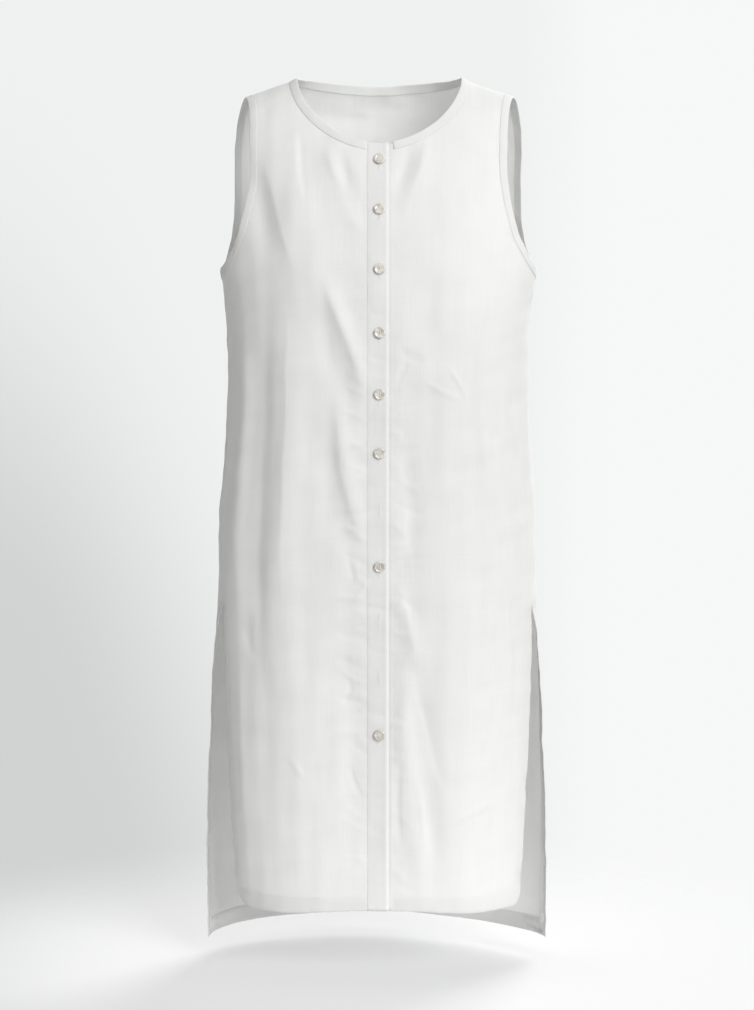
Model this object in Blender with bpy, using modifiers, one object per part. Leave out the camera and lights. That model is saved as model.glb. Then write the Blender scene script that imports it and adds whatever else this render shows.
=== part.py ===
"""Sleeveless long shirt with a round neck, a button front and open side vents.

Metres, +Z up. The front faces -Y and the wearer's left is +X. The origin lies midway between
the two neck points of the shoulders, where the wearer carries the shirt. The cloth keeps the
hollow form that it has when worn.
"""
import math

import bmesh
import bpy
import numpy as np
from mathutils import Vector

# Cloth and seams
WALL = 0.0016
SEAM_GAP = 0.0003
BINDING_WIDTH = 0.0100
BINDING_PROUD = 0.0004
BINDING_KICK = 0.0028

# Neck and shoulders
NECK_HALF = 0.1012
NECK_DEPTH_FRONT = 0.0851
NECK_DEPTH_BACK = 0.0042
NECK_ROUNDNESS = 1.8
SHOULDER_SLOPE = 0.38
RIDGE_ROUND = 0.060
RIDGE_FADE = 0.400

# Lengths below the shoulder ridge
VENT_TOP = 0.644
FRONT_LENGTH = 1.0135
FRONT_DIP = 0.0055
DIP_START = 0.030
DIP_RUN = 0.100
BACK_LENGTH = 1.0765
CORNER_RIGHT = 0.038
CORNER_LEFT = 0.018

# Button front
PLACKET_SEAM_UPPER = -0.0146
PLACKET_EDGE_UPPER = 0.0110
PLACKET_EDGE_UNDER = -0.0106
PLACKET_SEAM_UNDER = 0.0164
PLACKET_RAISE = 0.0012
PLACKET_SINK = 0.0007
UNDER_NOTCH = 0.0020
UNDER_STEP = 0.0006
BUTTON_HEIGHTS = (0.1053, 0.1665, 0.2378, 0.3142, 0.3870, 0.4580, 0.5946, 0.7991)
BUTTON_RADIUS = 0.0068
BUTTON_THICKNESS = 0.0024
BUTTON_DISH = 0.0007
BUTTON_SEGMENTS = 16

# Squareness of the girth's sections, and what is left of it at the loose back hem
SQUARENESS = 2.6
HEM_SQUARENESS_RIGHT = 2.0
HEM_SQUARENESS_LEFT = 1.45

# Sections of the hollow form in millimetres, one row for each drop below the shoulder ridge
SECTION_COLUMNS = ("drop", "front_half", "back_half", "front_depth", "back_depth",
                   "front_sway", "back_sway")
SECTIONS = np.array([
    (0, 198, 198, 0, 0, 0, 0),
    (8, 198, 198, 27, 40, 0, 0),
    (25, 198.3, 198.3, 47, 64, -0.3, -0.3),
    (60, 198.4, 198.4, 67, 86, -1.0, -1.0),
    (110, 198.6, 198.6, 84, 98, -1.6, -1.6),
    (160, 198.8, 198.8, 99, 102, -1.8, -1.8),
    (223, 196.1, 196.1, 117, 101, -0.8, -0.8),
    (275, 189.9, 189.9, 124, 98, -1.2, -1.2),
    (326, 187.6, 187.6, 127, 96, -0.8, -0.8),
    (436, 190.0, 190.0, 126, 97, -1.2, -1.2),
    (556, 197.5, 197.5, 124, 107, -2.6, -2.6),
    (647, 198.9, 198.9, 123, 115, -2.4, -2.8),
    (731, 197.3, 205.3, 123, 121, -1.4, -4.0),
    (817, 194.6, 209.7, 124, 127, -1.6, -3.8),
    (918, 190.0, 214.2, 126, 135, -1.8, -3.6),
    (1013, 184.3, 214.7, 128, 142, -1.2, -3.2),
    (1106, 182.6, 214.1, 129, 146, -1.0, -2.8),
]) / 1000

# Armhole edge in millimetres: height under the neck points, then half widths in front and behind
ARMHOLE = np.array([
    (44, 158.7, 176.0),
    (74, 157.3, 180.1),
    (128, 157.5, 180.8),
    (169, 164.1, 182.5),
    (202, 174.1, 187.1),
    (225, 186.2, 193.1),
]) / 1000
SHOULDER_HALF = 0.1666
UNDERARM = 0.2378

# Side seam: drop in metres and turn in degrees from the centre front
SIDE_SEAM = ((0.233, 90), (0.297, 82), (0.376, 76), (0.476, 74), (0.576, 72), (VENT_TOP, 66))
BACK_VENT = ((VENT_TOP, 66), (0.688, 77), (0.738, 84), (0.820, 89), (0.900, 90), (1.090, 90))

# Largest folds in millimetres: round the girth from the centre front and down from the ridge,
# at the start and at the end, then width, depth (a trough is negative) and sideways bend
FOLD_END = 0.35
FRONT_FOLDS = [
    (-45, 98, -12, 205, 9, -2.0, -4),
    (-62, 88, -14, 212, 9, 1.6, -5),
    (-86, 60, -64, 210, 12, -2.0, 0),
    (-152, 80, -110, 220, 16, -3.0, 6),
    (-113, 225, -113, 760, 18, 2.5, 0),
    (-138, 235, -137, 760, 13, -3.5, 0),
    (-163, 245, -166, 660, 10, 2.5, 0),
    (-192, 250, -200, 700, 16, -3.0, 0),
    (-68, 232, -10, 396, 11, 3.0, -4),
    (-88, 248, -24, 424, 14, -2.2, -4),
    (-50, 376, -13, 586, 12, 2.6, -6),
    (-68, 400, -28, 606, 16, -2.0, -6),
    (-46, 640, -30, 940, 16, -2.0, 8),
    (40, 100, 18, 172, 8, -1.6, 0),
    (62, 86, 24, 196, 10, 1.8, 4),
    (142, 34, 110, 160, 14, -2.2, 4),
    (68, 232, 50, 352, 14, -2.2, 0),
    (92, 260, 78, 520, 20, 1.8, 0),
    (30, 420, 37, 606, 11, -2.2, 4),
    (18, 608, 46, 730, 9, 2.2, 4),
    (44, 690, 92, 1060, 15, -2.6, -8),
    (26, 640, 60, 1040, 12, 2.2, -6),
    (150, 275, 158, 900, 20, 1.8, 0),
    (188, 290, 194, 640, 16, -2.4, 0),
]
BACK_FOLDS = [
    (292, 250, 294, 660, 14, 2.2, 0),
    (396, 120, 322, 280, 17, -3.2, 8),
    (328, 300, 336, 760, 22, -3.0, 0),
    (364, 380, 352, 1180, 28, 3.6, 6),
    (402, 120, 412, 600, 22, 3.0, 0),
    (440, 210, 434, 900, 20, -3.2, 5),
    (470, 330, 476, 1180, 24, 3.2, 0),
    (506, 560, 502, 1200, 22, -3.6, 0),
    (540, 280, 536, 1180, 24, 3.4, -4),
    (576, 170, 570, 820, 20, -3.2, 4),
    (612, 110, 600, 620, 24, 3.0, 0),
    (648, 420, 660, 1180, 28, 3.6, -6),
    (684, 260, 676, 760, 20, -3.0, 0),
    (616, 125, 684, 275, 17, -3.4, -8),
    (716, 250, 720, 660, 14, 2.0, 0),
    (470, 34, 540, 40, 12, -1.6, 4),
]
FOLDS = np.array(FRONT_FOLDS + BACK_FOLDS) / 1000

# Grid of the panels
NECK_STEPS_FRONT = 9
NECK_STEPS_BACK = 16
ARMHOLE_STEPS = 13
LOWER_DROPS = (0.262, 0.290, 0.325, 0.365, 0.410, 0.455, 0.500, 0.550, 0.600, VENT_TOP,
               0.690, 0.735, 0.780, 0.825, 0.870, 0.912, 0.950)
BACK_HEM_DROPS = (0.993, 1.035)
FRONT_MARGIN = 0.75
BACK_MARGIN = 0.40

COLLECTION = "long_shirt"


def smooth(value):
    """Soft step from 0 to 1."""
    part = np.clip(value, 0, 1)
    return part * part * (3 - 2 * part)


def through(keys, values, at):
    """Smooth curve through the points of a table."""
    keys = np.asarray(keys, float)
    values = np.asarray(values, float)
    slopes = np.gradient(values, keys)
    place = np.clip(np.searchsorted(keys, at) - 1, 0, len(keys) - 2)
    span = keys[place + 1] - keys[place]
    part = np.clip((at - keys[place]) / span, 0, 1)
    square, cube = part ** 2, part ** 3
    return (values[place] * (2 * cube - 3 * square + 1)
            + values[place + 1] * (3 * square - 2 * cube)
            + slopes[place] * span * (cube - 2 * square + part)
            + slopes[place + 1] * span * (cube - square))


def section(name, root):
    """Value of one column of the sections at the square root of a drop."""
    return through(np.sqrt(SECTIONS[:, 0]), SECTIONS[:, SECTION_COLUMNS.index(name)], root)


def ridge(x):
    """Height of the shoulder ridge."""
    reach = math.hypot(NECK_HALF, RIDGE_ROUND)
    return SHOULDER_SLOPE * (reach - np.sqrt(x ** 2 + RIDGE_ROUND ** 2))


def squareness(turn, root, sheet):
    """Exponent of the section, softer where the back hangs free under the vents."""
    if sheet == "front":
        return np.full(np.shape(turn), SQUARENESS)
    loose = smooth((root ** 2 - VENT_TOP) / (BACK_LENGTH - VENT_TOP))
    side = smooth(0.5 + np.sin(turn))
    target = HEM_SQUARENESS_RIGHT + (HEM_SQUARENESS_LEFT - HEM_SQUARENESS_RIGHT) * side
    return SQUARENESS + (target - SQUARENESS) * loose


def body_form(turn, root, sheet):
    """Point of the hollow form: turn from the centre front, root of the drop, front or back."""
    turn, root = np.broadcast_arrays(np.asarray(turn, float), np.asarray(root, float))
    sine, cosine = np.sin(turn), np.cos(turn)
    power = squareness(turn, root, sheet)
    reach = (np.abs(sine) ** power + np.abs(cosine) ** power) ** (1 / power)
    depth = np.where(cosine > 0, section("front_depth", root), section("back_depth", root))
    x = section(sheet + "_sway", root) + section(sheet + "_half", root) * sine / reach
    y = -depth * cosine / reach
    drop = root ** 2
    z = ridge(x) * (1 - smooth(drop / RIDGE_FADE)) - drop
    return np.stack([x, y, z], -1)


def normals(surface, turn, root, sheet):
    """Outward directions of a surface."""
    step = 1e-4
    across = surface(turn + step, root, sheet) - surface(turn - step, root, sheet)
    down = surface(turn, root + step, sheet) - surface(turn, np.maximum(root - step, 0), sheet)
    out = np.cross(down, across)
    return out / np.linalg.norm(out, axis=-1, keepdims=True)


def girth_table():
    """Distance round the waist section for each turn from the centre front."""
    turns = np.linspace(-math.pi, 3 * math.pi, 1441)
    ring = body_form(turns, math.sqrt(0.45), "front")
    steps = np.linalg.norm(np.diff(ring, axis=0), axis=1)
    lengths = np.concatenate([[0], np.cumsum(steps)])
    return turns, lengths - np.interp(0, turns, lengths)


GIRTH_TURNS, GIRTHS = girth_table()


def fold_height(turn, root):
    """How far the folds lift or sink the cloth."""
    around = np.interp(turn, GIRTH_TURNS, GIRTHS)
    whole = np.interp(2 * math.pi, GIRTH_TURNS, GIRTHS)
    drop = root ** 2
    total = np.zeros(np.shape(around))
    for start_g, start_d, end_g, end_d, width, depth, bend in FOLDS:
        length = math.hypot(end_g - start_g, end_d - start_d)
        along_g, along_d = (end_g - start_g) / length, (end_d - start_d) / length
        away = around - start_g
        away = away - whole * np.round((away - (end_g - start_g) / 2) / whole)
        part = (away * along_g + (drop - start_d) * along_d) / length
        inside = np.clip(part, 0, 1)
        side = away * along_d - (drop - start_d) * along_g - bend * np.sin(math.pi * inside)
        ends = smooth(inside / FOLD_END) * smooth((1 - inside) / FOLD_END)
        total = total + depth * np.exp(-(side / width) ** 2) * ends
    return total


def cloth(turn, root, sheet):
    """Point of the cloth's outer face, folds and all."""
    turn, root = np.broadcast_arrays(np.asarray(turn, float), np.asarray(root, float))
    lift = fold_height(turn, root)[..., None]
    return body_form(turn, root, sheet) + normals(body_form, turn, root, sheet) * lift


def layer(places, sheet, level):
    """Points on the cloth, moved out by a level, for places of turn and root."""
    turn, root = places[..., 0], places[..., 1]
    level = np.broadcast_to(level, np.shape(turn))[..., None]
    return cloth(turn, root, sheet) + normals(cloth, turn, root, sheet) * level


def drop_at(x, z):
    """Drop of the cloth that lies at a height."""
    drop = -np.asarray(z, float)
    for _ in range(12):
        drop = ridge(x) * (1 - smooth(drop / RIDGE_FADE)) - z
    return np.maximum(drop, 0)


def place_at(x, z, sheet):
    """Turn and root of the cloth at a distance from the middle of its section and a height."""
    x, z = np.broadcast_arrays(np.asarray(x, float), np.asarray(z, float))
    root = np.sqrt(drop_at(x, z))
    share = np.clip(np.abs(x) / section(sheet + "_half", root), 0, 1)
    turn = np.arctan2(share, (1 - share ** SQUARENESS) ** (1 / SQUARENESS))
    if sheet == "back":
        return np.stack([math.pi - np.copysign(turn, x), root], -1)
    return np.stack([np.copysign(turn, x), root], -1)


def turn_at(x, root):
    """Turn of a line near the centre front that keeps its place across."""
    away = x - section("front_sway", root)
    share = np.abs(away) / section("front_half", root)
    turn = np.arctan2(share, (1 - share ** SQUARENESS) ** (1 / SQUARENESS))
    return np.copysign(turn, away)


def beside(places, sheet, distance):
    """A line of places moved sideways by a distance measured on the cloth."""
    turn, root = places[:, 0].copy(), places[:, 1].copy()
    points = body_form(turn, root, sheet)
    along = np.gradient(points, axis=0)
    along /= np.linalg.norm(along, axis=1, keepdims=True)
    target = points + distance * np.cross(normals(body_form, turn, root, sheet), along)
    step = 1e-4
    for _ in range(8):
        here = body_form(turn, root, sheet)
        by_turn = (body_form(turn + step, root, sheet) - here) / step
        by_root = (body_form(turn, root + step, sheet) - here) / step
        for row in range(len(turn)):
            move = np.linalg.lstsq(
                np.stack([by_turn[row], by_root[row]], 1), target[row] - here[row], rcond=None)[0]
            turn[row] += move[0]
            root[row] = max(root[row] + move[1], 0)
    return np.stack([turn, root], -1)


def resampled(places, sheet, steps):
    """Evenly spaced places on the smooth curve through a few places."""
    points = body_form(places[:, 0], places[:, 1], sheet)
    keys = np.concatenate([[0], np.cumsum(np.linalg.norm(np.diff(points, axis=0), axis=1))])
    fine = np.linspace(0, keys[-1], 300)
    turn = through(keys, places[:, 0], fine)
    root = np.maximum(through(keys, places[:, 1], fine), 0)
    points = body_form(turn, root, sheet)
    lengths = np.concatenate([[0], np.cumsum(np.linalg.norm(np.diff(points, axis=0), axis=1))])
    at = np.linspace(0, lengths[-1], steps + 1)
    return np.stack([np.interp(at, lengths, turn), np.interp(at, lengths, root)], -1)


def neck_edge_height(x):
    """Height of the neck edge in front."""
    share = np.clip(np.abs(x) / NECK_HALF, 0, 1)
    return -NECK_DEPTH_FRONT * (1 - share ** NECK_ROUNDNESS) ** (1 / NECK_ROUNDNESS)


def neck_edge(sheet, side, start):
    """Places on the neck edge: in front from the button front up to the ridge, behind from
    the ridge across to the other ridge."""
    if sheet == "front":
        first = math.asin((start / NECK_HALF) ** (NECK_ROUNDNESS / 2))
        angle = np.linspace(first, math.pi / 2, NECK_STEPS_FRONT + 1)
        x = NECK_HALF * np.sin(angle) ** (2 / NECK_ROUNDNESS)
        places = place_at(side * x, neck_edge_height(x), "front")
        places[0, 0] = turn_at(side * start, places[0, 1])
        return places
    angle = np.linspace(0, math.pi, NECK_STEPS_BACK + 1)
    x = NECK_HALF * np.cos(angle)
    return place_at(x, -NECK_DEPTH_BACK * (1 - (x / NECK_HALF) ** 2), "back")


def neck_seam(sheet, side, start, distance):
    """Places on the line where the neck binding meets a panel."""
    places = neck_edge(sheet, side, start)
    x = NECK_HALF + distance
    if sheet == "front":
        places = beside(places, sheet, -side * distance)
        places[0, 1] = math.sqrt(drop_at(0, -NECK_DEPTH_FRONT - distance))
        places[0, 0] = turn_at(side * start, places[0, 1])
        places[-1] = place_at(side * x, ridge(x), sheet)
        return places
    places = beside(places, sheet, -distance)
    places[[0, -1]] = place_at([x, -x], ridge(x), sheet)
    return places


def mirrored(places, sheet, side):
    """The wearer's left side's places, or those of the right side."""
    if side > 0:
        return places
    whole = 0 if sheet == "front" else 2 * math.pi
    return np.stack([whole - places[:, 0], places[:, 1]], -1)


def armhole_edge(sheet, side):
    """Places on an armhole's edge from the ridge down to the underarm."""
    column = 1 if sheet == "front" else 2
    heights = np.concatenate([[-ridge(SHOULDER_HALF)], ARMHOLE[:, 0]])
    halves = np.concatenate([[SHOULDER_HALF], ARMHOLE[:, column]])
    places = place_at(halves, -heights, sheet)
    under = math.sqrt(drop_at(section("front_half", math.sqrt(UNDERARM)), -UNDERARM))
    places = np.concatenate([places, [[math.pi / 2, under]]])
    return resampled(mirrored(places, sheet, side), sheet, ARMHOLE_STEPS)


def armhole_seam(sheet, side, distance):
    """Places on the line where an armhole's binding meets a panel."""
    edge = armhole_edge(sheet, side)
    places = beside(edge, sheet, side * (-distance if sheet == "front" else distance))
    x = SHOULDER_HALF - distance
    ends = np.concatenate([place_at([x], ridge(x), sheet),
                           [[math.pi / 2, math.sqrt(edge[-1, 1] ** 2 + distance)]]])
    places[[0, -1]] = mirrored(ends, sheet, side)
    return places


def side_edge(sheet, side, hem_drop):
    """Places on a side seam and the free vent edge below the armhole."""
    below = BACK_HEM_DROPS if sheet == "back" else ()
    drops = np.concatenate([LOWER_DROPS, below, [hem_drop]])
    seam = np.array(SIDE_SEAM)
    turn = np.radians(through(seam[:, 0], seam[:, 1], np.minimum(drops, VENT_TOP)))
    if sheet == "back":
        vent = np.array(BACK_VENT)
        turn = np.where(drops > VENT_TOP, np.radians(through(vent[:, 0], vent[:, 1], drops)), turn)
    places = mirrored(np.stack([turn, np.sqrt(drops)], -1), sheet, side)
    return beside(places, sheet, side * (-SEAM_GAP if sheet == "front" else SEAM_GAP) / 2)


def spread(top, bottom, left, right, across, down, margin):
    """Places that fill a panel between its four edges; a side's own curve reaches in by the
    margin."""
    s, v = across[None, :, None], down[:, None, None]
    left_curve = left[:, None] - (1 - v) * top[0] - v * bottom[0]
    right_curve = right[:, None] - (1 - v) * top[-1] - v * bottom[-1]
    return ((1 - v) * top[None] + v * bottom[None]
            + np.clip(1 - s / margin, 0, 1) ** 2 * left_curve
            + np.clip((s - 1 + margin) / margin, 0, 1) ** 2 * right_curve)


def turn_of_girth(girth):
    """Turn at a distance round the girth."""
    return np.interp(girth, GIRTHS, GIRTH_TURNS)


def girth_of_turn(turn):
    """Distance round the girth of a turn."""
    return np.interp(turn, GIRTH_TURNS, GIRTHS)


SHOULDER_SHARES = np.array([0, 0.20, 0.40, 0.60, 0.78, 0.92, 1])
FRONT_NECK_SHARE = 0.60
BACK_NECK_SHARE = 0.60


def shoulder_line(sheet, side):
    """Places along the shoulder seam from the neck binding out to the armhole binding."""
    inner = NECK_HALF + BINDING_WIDTH + SEAM_GAP / 2
    outer = SHOULDER_HALF - BINDING_WIDTH - SEAM_GAP / 2
    x = side * (inner + (outer - inner) * SHOULDER_SHARES)
    places = place_at(x, ridge(x), sheet)
    turned = side if sheet == "front" else -side
    return beside(places, sheet, turned * -SEAM_GAP / 2)


def panel_sides(sheet, side, hem_drop):
    """The outer edge of a panel and how far down each of its rows lies."""
    edge = np.concatenate([armhole_seam(sheet, side, BINDING_WIDTH + SEAM_GAP / 2),
                           side_edge(sheet, side, hem_drop)])
    down = (edge[:, 1] - edge[0, 1]) / (edge[-1, 1] - edge[0, 1])
    return edge, down


def front_roots(down):
    """Roots of the rows along the button front."""
    first = math.sqrt(drop_at(0, -NECK_DEPTH_FRONT - BINDING_WIDTH - SEAM_GAP / 2))
    return first + (math.sqrt(FRONT_LENGTH) - first) * down


def front_panel(side, seam, corner):
    """Grid of places of one front, from its placket seam out to the side."""
    edge, down = panel_sides("front", side, FRONT_LENGTH + FRONT_DIP)
    start = abs(seam) + SEAM_GAP / 2
    neck = neck_seam("front", side, start, BINDING_WIDTH + SEAM_GAP / 2)
    shoulder = shoulder_line("front", side)
    edge[0] = shoulder[-1]
    neck[-1] = shoulder[0]
    top = np.concatenate([neck, shoulder[1:]])
    across = np.concatenate([np.linspace(0, FRONT_NECK_SHARE, NECK_STEPS_FRONT + 1),
                             FRONT_NECK_SHARE + (1 - FRONT_NECK_SHARE) * SHOULDER_SHARES[1:]])
    roots = front_roots(down)
    inner = np.stack([turn_at(side * start, roots), roots], -1)
    inner[0] = neck[0]
    girth = np.interp(across, [0, 1], girth_of_turn(np.array([inner[-1, 0], edge[-1, 0]])))
    width = abs(girth[-1])
    past = np.clip((np.abs(girth) - (width - corner)) / corner, 0, 1)
    drops = (FRONT_LENGTH + FRONT_DIP * smooth((np.abs(girth) - DIP_START) / DIP_RUN)
             - corner * (1 - np.sqrt(1 - past ** 2)))
    bottom = np.stack([turn_of_girth(girth), np.sqrt(drops)], -1)
    edge[-1] = bottom[-1]
    inner[-1] = bottom[0]
    return spread(top, bottom, inner, edge, across, down, FRONT_MARGIN)


def back_panel():
    """Grid of places of the back, from the wearer's left across to the right."""
    left, down = panel_sides("back", 1, BACK_LENGTH)
    right, _ = panel_sides("back", -1, BACK_LENGTH)
    neck = neck_seam("back", 1, 0, BINDING_WIDTH + SEAM_GAP / 2)
    shoulder, other = shoulder_line("back", 1), shoulder_line("back", -1)
    left[0], right[0] = shoulder[-1], other[-1]
    neck[0], neck[-1] = shoulder[0], other[0]
    top = np.concatenate([shoulder[:0:-1], neck, other[1:]])
    margin = (1 - BACK_NECK_SHARE) / 2
    across = np.concatenate([margin * (1 - SHOULDER_SHARES[:0:-1]),
                             np.linspace(margin, 1 - margin, NECK_STEPS_BACK + 1),
                             1 - margin * (1 - SHOULDER_SHARES[1:])])
    girth = np.interp(across, [0, 1], girth_of_turn(np.array([left[-1, 0], right[-1, 0]])))
    bottom = np.stack([turn_of_girth(girth), np.full(len(girth), math.sqrt(BACK_LENGTH))], -1)
    return spread(top, bottom, left, right, across, down, BACK_MARGIN)


def fabric(name, colour, roughness):
    """Plain material of a piece."""
    material = bpy.data.materials.new(name)
    material.use_nodes = True
    shader = material.node_tree.nodes["Principled BSDF"]
    shader.inputs["Base Color"].default_value = (*colour, 1)
    shader.inputs["Roughness"].default_value = roughness
    return material


def wall(name, outer, inner, material, ring=False):
    """Closed wall between two grids of points; a ring joins its last row to its first."""
    rows, columns = outer.shape[:2]
    mesh = bmesh.new()
    grids = [[[mesh.verts.new(point) for point in row] for row in grid] for grid in (outer, inner)]
    count = rows if ring else rows - 1
    for grid in grids:
        for row in range(count):
            here, below = grid[row], grid[(row + 1) % rows]
            for column in range(columns - 1):
                mesh.faces.new((here[column], below[column], below[column + 1], here[column + 1]))
    for column in (0, columns - 1):
        for row in range(count):
            below = (row + 1) % rows
            mesh.faces.new((grids[0][row][column], grids[0][below][column],
                            grids[1][below][column], grids[1][row][column]))
    if not ring:
        for row in (0, rows - 1):
            for column in range(columns - 1):
                mesh.faces.new((grids[0][row][column], grids[0][row][column + 1],
                                grids[1][row][column + 1], grids[1][row][column]))
    bmesh.ops.recalc_face_normals(mesh, faces=mesh.faces[:])
    data = bpy.data.meshes.new(name)
    mesh.to_mesh(data)
    mesh.free()
    data.materials.append(material)
    data.shade_smooth()
    data.set_sharp_from_angle(angle=math.radians(40))
    piece = bpy.data.objects.new(name, data)
    parts.objects.link(piece)
    return piece


def placket(name, roots, edges, level, material):
    """Double band beside the opening, from the neck edge to the hem."""
    x = np.array(edges)
    rows = [np.stack([turn_at(x, np.full(len(x), root)), np.full(len(x), root)], -1)
            for root in roots]
    notch = UNDER_NOTCH if max(level) < PLACKET_RAISE else 0
    top_roots = np.sqrt(drop_at(x, neck_edge_height(x) - notch))
    top = np.stack([turn_at(x, top_roots), top_roots], -1)
    places = np.stack([top] + rows)
    outer = layer(places, "front", np.array(level))
    inner = layer(places, "front", np.array(level) - WALL)
    return wall(name, outer, inner, material)


def binding_rows(edges, seams, sheet, kick):
    """Outer and inner points of a stretch of binding, two or more across its width."""
    outer, inner = [], []
    for share in (0, 0.5, 1):
        places = edges + (seams - edges) * share
        lift = kick * (1 - share)
        outer.append(layer(places, sheet, BINDING_PROUD + lift))
        inner.append(layer(places, sheet, BINDING_PROUD + lift - WALL - BINDING_PROUD))
    return np.stack(outer, 1), np.stack(inner, 1)


def neck_binding(material):
    """Bias strip round the neck from one placket to the other."""
    stretches = []
    for sheet, side, start in (("front", -1, -PLACKET_SEAM_UPPER + SEAM_GAP / 2),
                               ("back", 1, 0),
                               ("front", 1, PLACKET_SEAM_UNDER + SEAM_GAP / 2)):
        edges = neck_edge(sheet, side, start)
        seams = neck_seam(sheet, side, start, BINDING_WIDTH - SEAM_GAP / 2)
        points = body_form(edges[:, 0], edges[:, 1], sheet)
        kick = BINDING_KICK * (np.abs(points[:, 0]) / NECK_HALF) ** 4
        outer, inner = binding_rows(edges, seams, sheet, kick)
        if sheet == "back":
            outer, inner = outer[-2:0:-1], inner[-2:0:-1]
        elif side > 0:
            outer, inner = outer[::-1], inner[::-1]
        stretches.append((outer, inner))
    outer = np.concatenate([part[0] for part in stretches])
    inner = np.concatenate([part[1] for part in stretches])
    return wall("neck_binding", outer, inner, material)


def armhole_binding(name, side, material):
    """Closed bias strip round one armhole."""
    stretches = []
    for sheet in ("front", "back"):
        outer, inner = binding_rows(
            armhole_edge(sheet, side), armhole_seam(sheet, side, BINDING_WIDTH - SEAM_GAP / 2),
            sheet, 0)
        if sheet == "back":
            outer, inner = outer[-2:0:-1], inner[-2:0:-1]
        stretches.append((outer, inner))
    outer = np.concatenate([part[0] for part in stretches])
    inner = np.concatenate([part[1] for part in stretches])
    return wall(name, outer, inner, material, ring=True)


def button_mesh():
    """Dished disc turned from its profile, its back in the plane of zero height."""
    top, edge = BUTTON_THICKNESS, BUTTON_RADIUS
    profile = [(0, top - BUTTON_DISH), (edge * 0.58, top - BUTTON_DISH), (edge * 0.74, top),
               (edge * 0.92, top), (edge, top * 0.6), (edge * 0.86, 0), (0, 0)]
    data = bpy.data.meshes.new("button")
    data.from_pydata([(x, 0, z) for x, z in profile],
                     [(i, i + 1) for i in range(len(profile) - 1)], [])
    return data


def button(name, height, data):
    """One button on the outer face of the upper placket, at a height under the neck points."""
    root = math.sqrt(drop_at(0, -height))
    place = np.array([turn_at(0, root), root])
    seat = layer(place, "front", PLACKET_RAISE + SEAM_GAP)
    out = normals(cloth, place[0], place[1], "front")
    piece = bpy.data.objects.new(name, data)
    piece.location = seat
    piece.rotation_mode = "QUATERNION"
    piece.rotation_quaternion = Vector(out).to_track_quat("Z", "Y")
    parts.objects.link(piece)
    screw = piece.modifiers.new("Turned", "SCREW")
    screw.axis = "Z"
    screw.steps = BUTTON_SEGMENTS
    screw.render_steps = BUTTON_SEGMENTS
    screw.use_merge_vertices = True
    screw.merge_threshold = 0.00001
    screw.use_smooth_shade = True
    return piece


def panel(name, places, sheet, material):
    """One cut panel as a wall on its grid of places."""
    return wall(name, layer(places, sheet, 0), layer(places, sheet, -WALL), material)


for old in list(bpy.data.objects):
    bpy.data.objects.remove(old, do_unlink=True)
parts = bpy.data.collections.new(COLLECTION)
bpy.context.scene.collection.children.link(parts)

white_cloth = fabric("white_cloth", (0.86, 0.86, 0.85), 0.85)
binding_cloth = fabric("binding_cloth", (0.88, 0.88, 0.87), 0.80)
placket_cloth = fabric("placket_cloth", (0.87, 0.87, 0.86), 0.80)
shell = fabric("shell", (0.66, 0.62, 0.54), 0.28)

panel("back", back_panel(), "back", white_cloth)
panel("front_right", front_panel(-1, PLACKET_SEAM_UPPER, CORNER_RIGHT), "front", white_cloth)
panel("front_left", front_panel(1, PLACKET_SEAM_UNDER, CORNER_LEFT), "front", white_cloth)

rows_down = panel_sides("front", 1, FRONT_LENGTH + FRONT_DIP)[1]
placket("placket_upper", front_roots(rows_down),
        (PLACKET_SEAM_UPPER, PLACKET_EDGE_UNDER, 0, PLACKET_EDGE_UPPER),
        (PLACKET_RAISE,) * 4, placket_cloth)
placket("placket_under", front_roots(rows_down),
        (PLACKET_EDGE_UNDER, 0, PLACKET_EDGE_UPPER + UNDER_STEP, PLACKET_SEAM_UNDER),
        (-PLACKET_SINK, -PLACKET_SINK, -PLACKET_SINK, 0), placket_cloth)
neck_binding(binding_cloth)
armhole_binding("armhole_binding_right", -1, binding_cloth)
armhole_binding("armhole_binding_left", 1, binding_cloth)

disc = button_mesh()
disc.materials.append(shell)
for number, height in enumerate(BUTTON_HEIGHTS, 1):
    button(f"button_{number}", height, disc)
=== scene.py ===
"""Sleeveless white long shirt in worn form, with a round neck, a button front and side vents.

Metres, +Z up. The front faces -Y and the wearer's left is +X.
"""
import math

import bmesh
import bpy
import numpy as np
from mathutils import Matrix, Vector


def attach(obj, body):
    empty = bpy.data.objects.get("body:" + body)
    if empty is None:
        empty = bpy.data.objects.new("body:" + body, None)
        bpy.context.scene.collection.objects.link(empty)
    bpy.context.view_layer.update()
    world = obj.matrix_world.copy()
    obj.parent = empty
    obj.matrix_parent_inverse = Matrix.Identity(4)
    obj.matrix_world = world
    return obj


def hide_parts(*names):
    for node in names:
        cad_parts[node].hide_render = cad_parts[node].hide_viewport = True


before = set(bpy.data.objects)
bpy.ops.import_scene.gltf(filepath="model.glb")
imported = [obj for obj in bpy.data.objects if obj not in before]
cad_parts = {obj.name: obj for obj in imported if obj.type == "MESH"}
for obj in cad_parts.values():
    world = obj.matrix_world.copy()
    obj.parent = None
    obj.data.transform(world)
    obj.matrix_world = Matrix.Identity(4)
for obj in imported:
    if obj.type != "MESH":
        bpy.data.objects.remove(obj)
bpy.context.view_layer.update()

# Studio
# A pale floor just under the hem, a bright backdrop round it that only the camera sees, darker
# towards -X and low down with painted shade and lighter towards +X with painted light, and two
# wide soft suns: one in front on the wearer's left and one behind. The camera stands level with
# the chest.
CAMERA_PLACE = (-0.003, -3.0, -0.3332)
CAMERA_TILT = math.atan(0.065)
SENSOR = 36
FOCAL_PIXELS = 2400
PICTURE_HEIGHT = 1010
FLOOR_HEIGHT = -1.1025
FLOOR_RADIUS = 1.60
FLOOR_FADE = (0.26, 0.80)
FLOOR_TONE = (0.460, 0.464, 0.463, 1)
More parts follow.
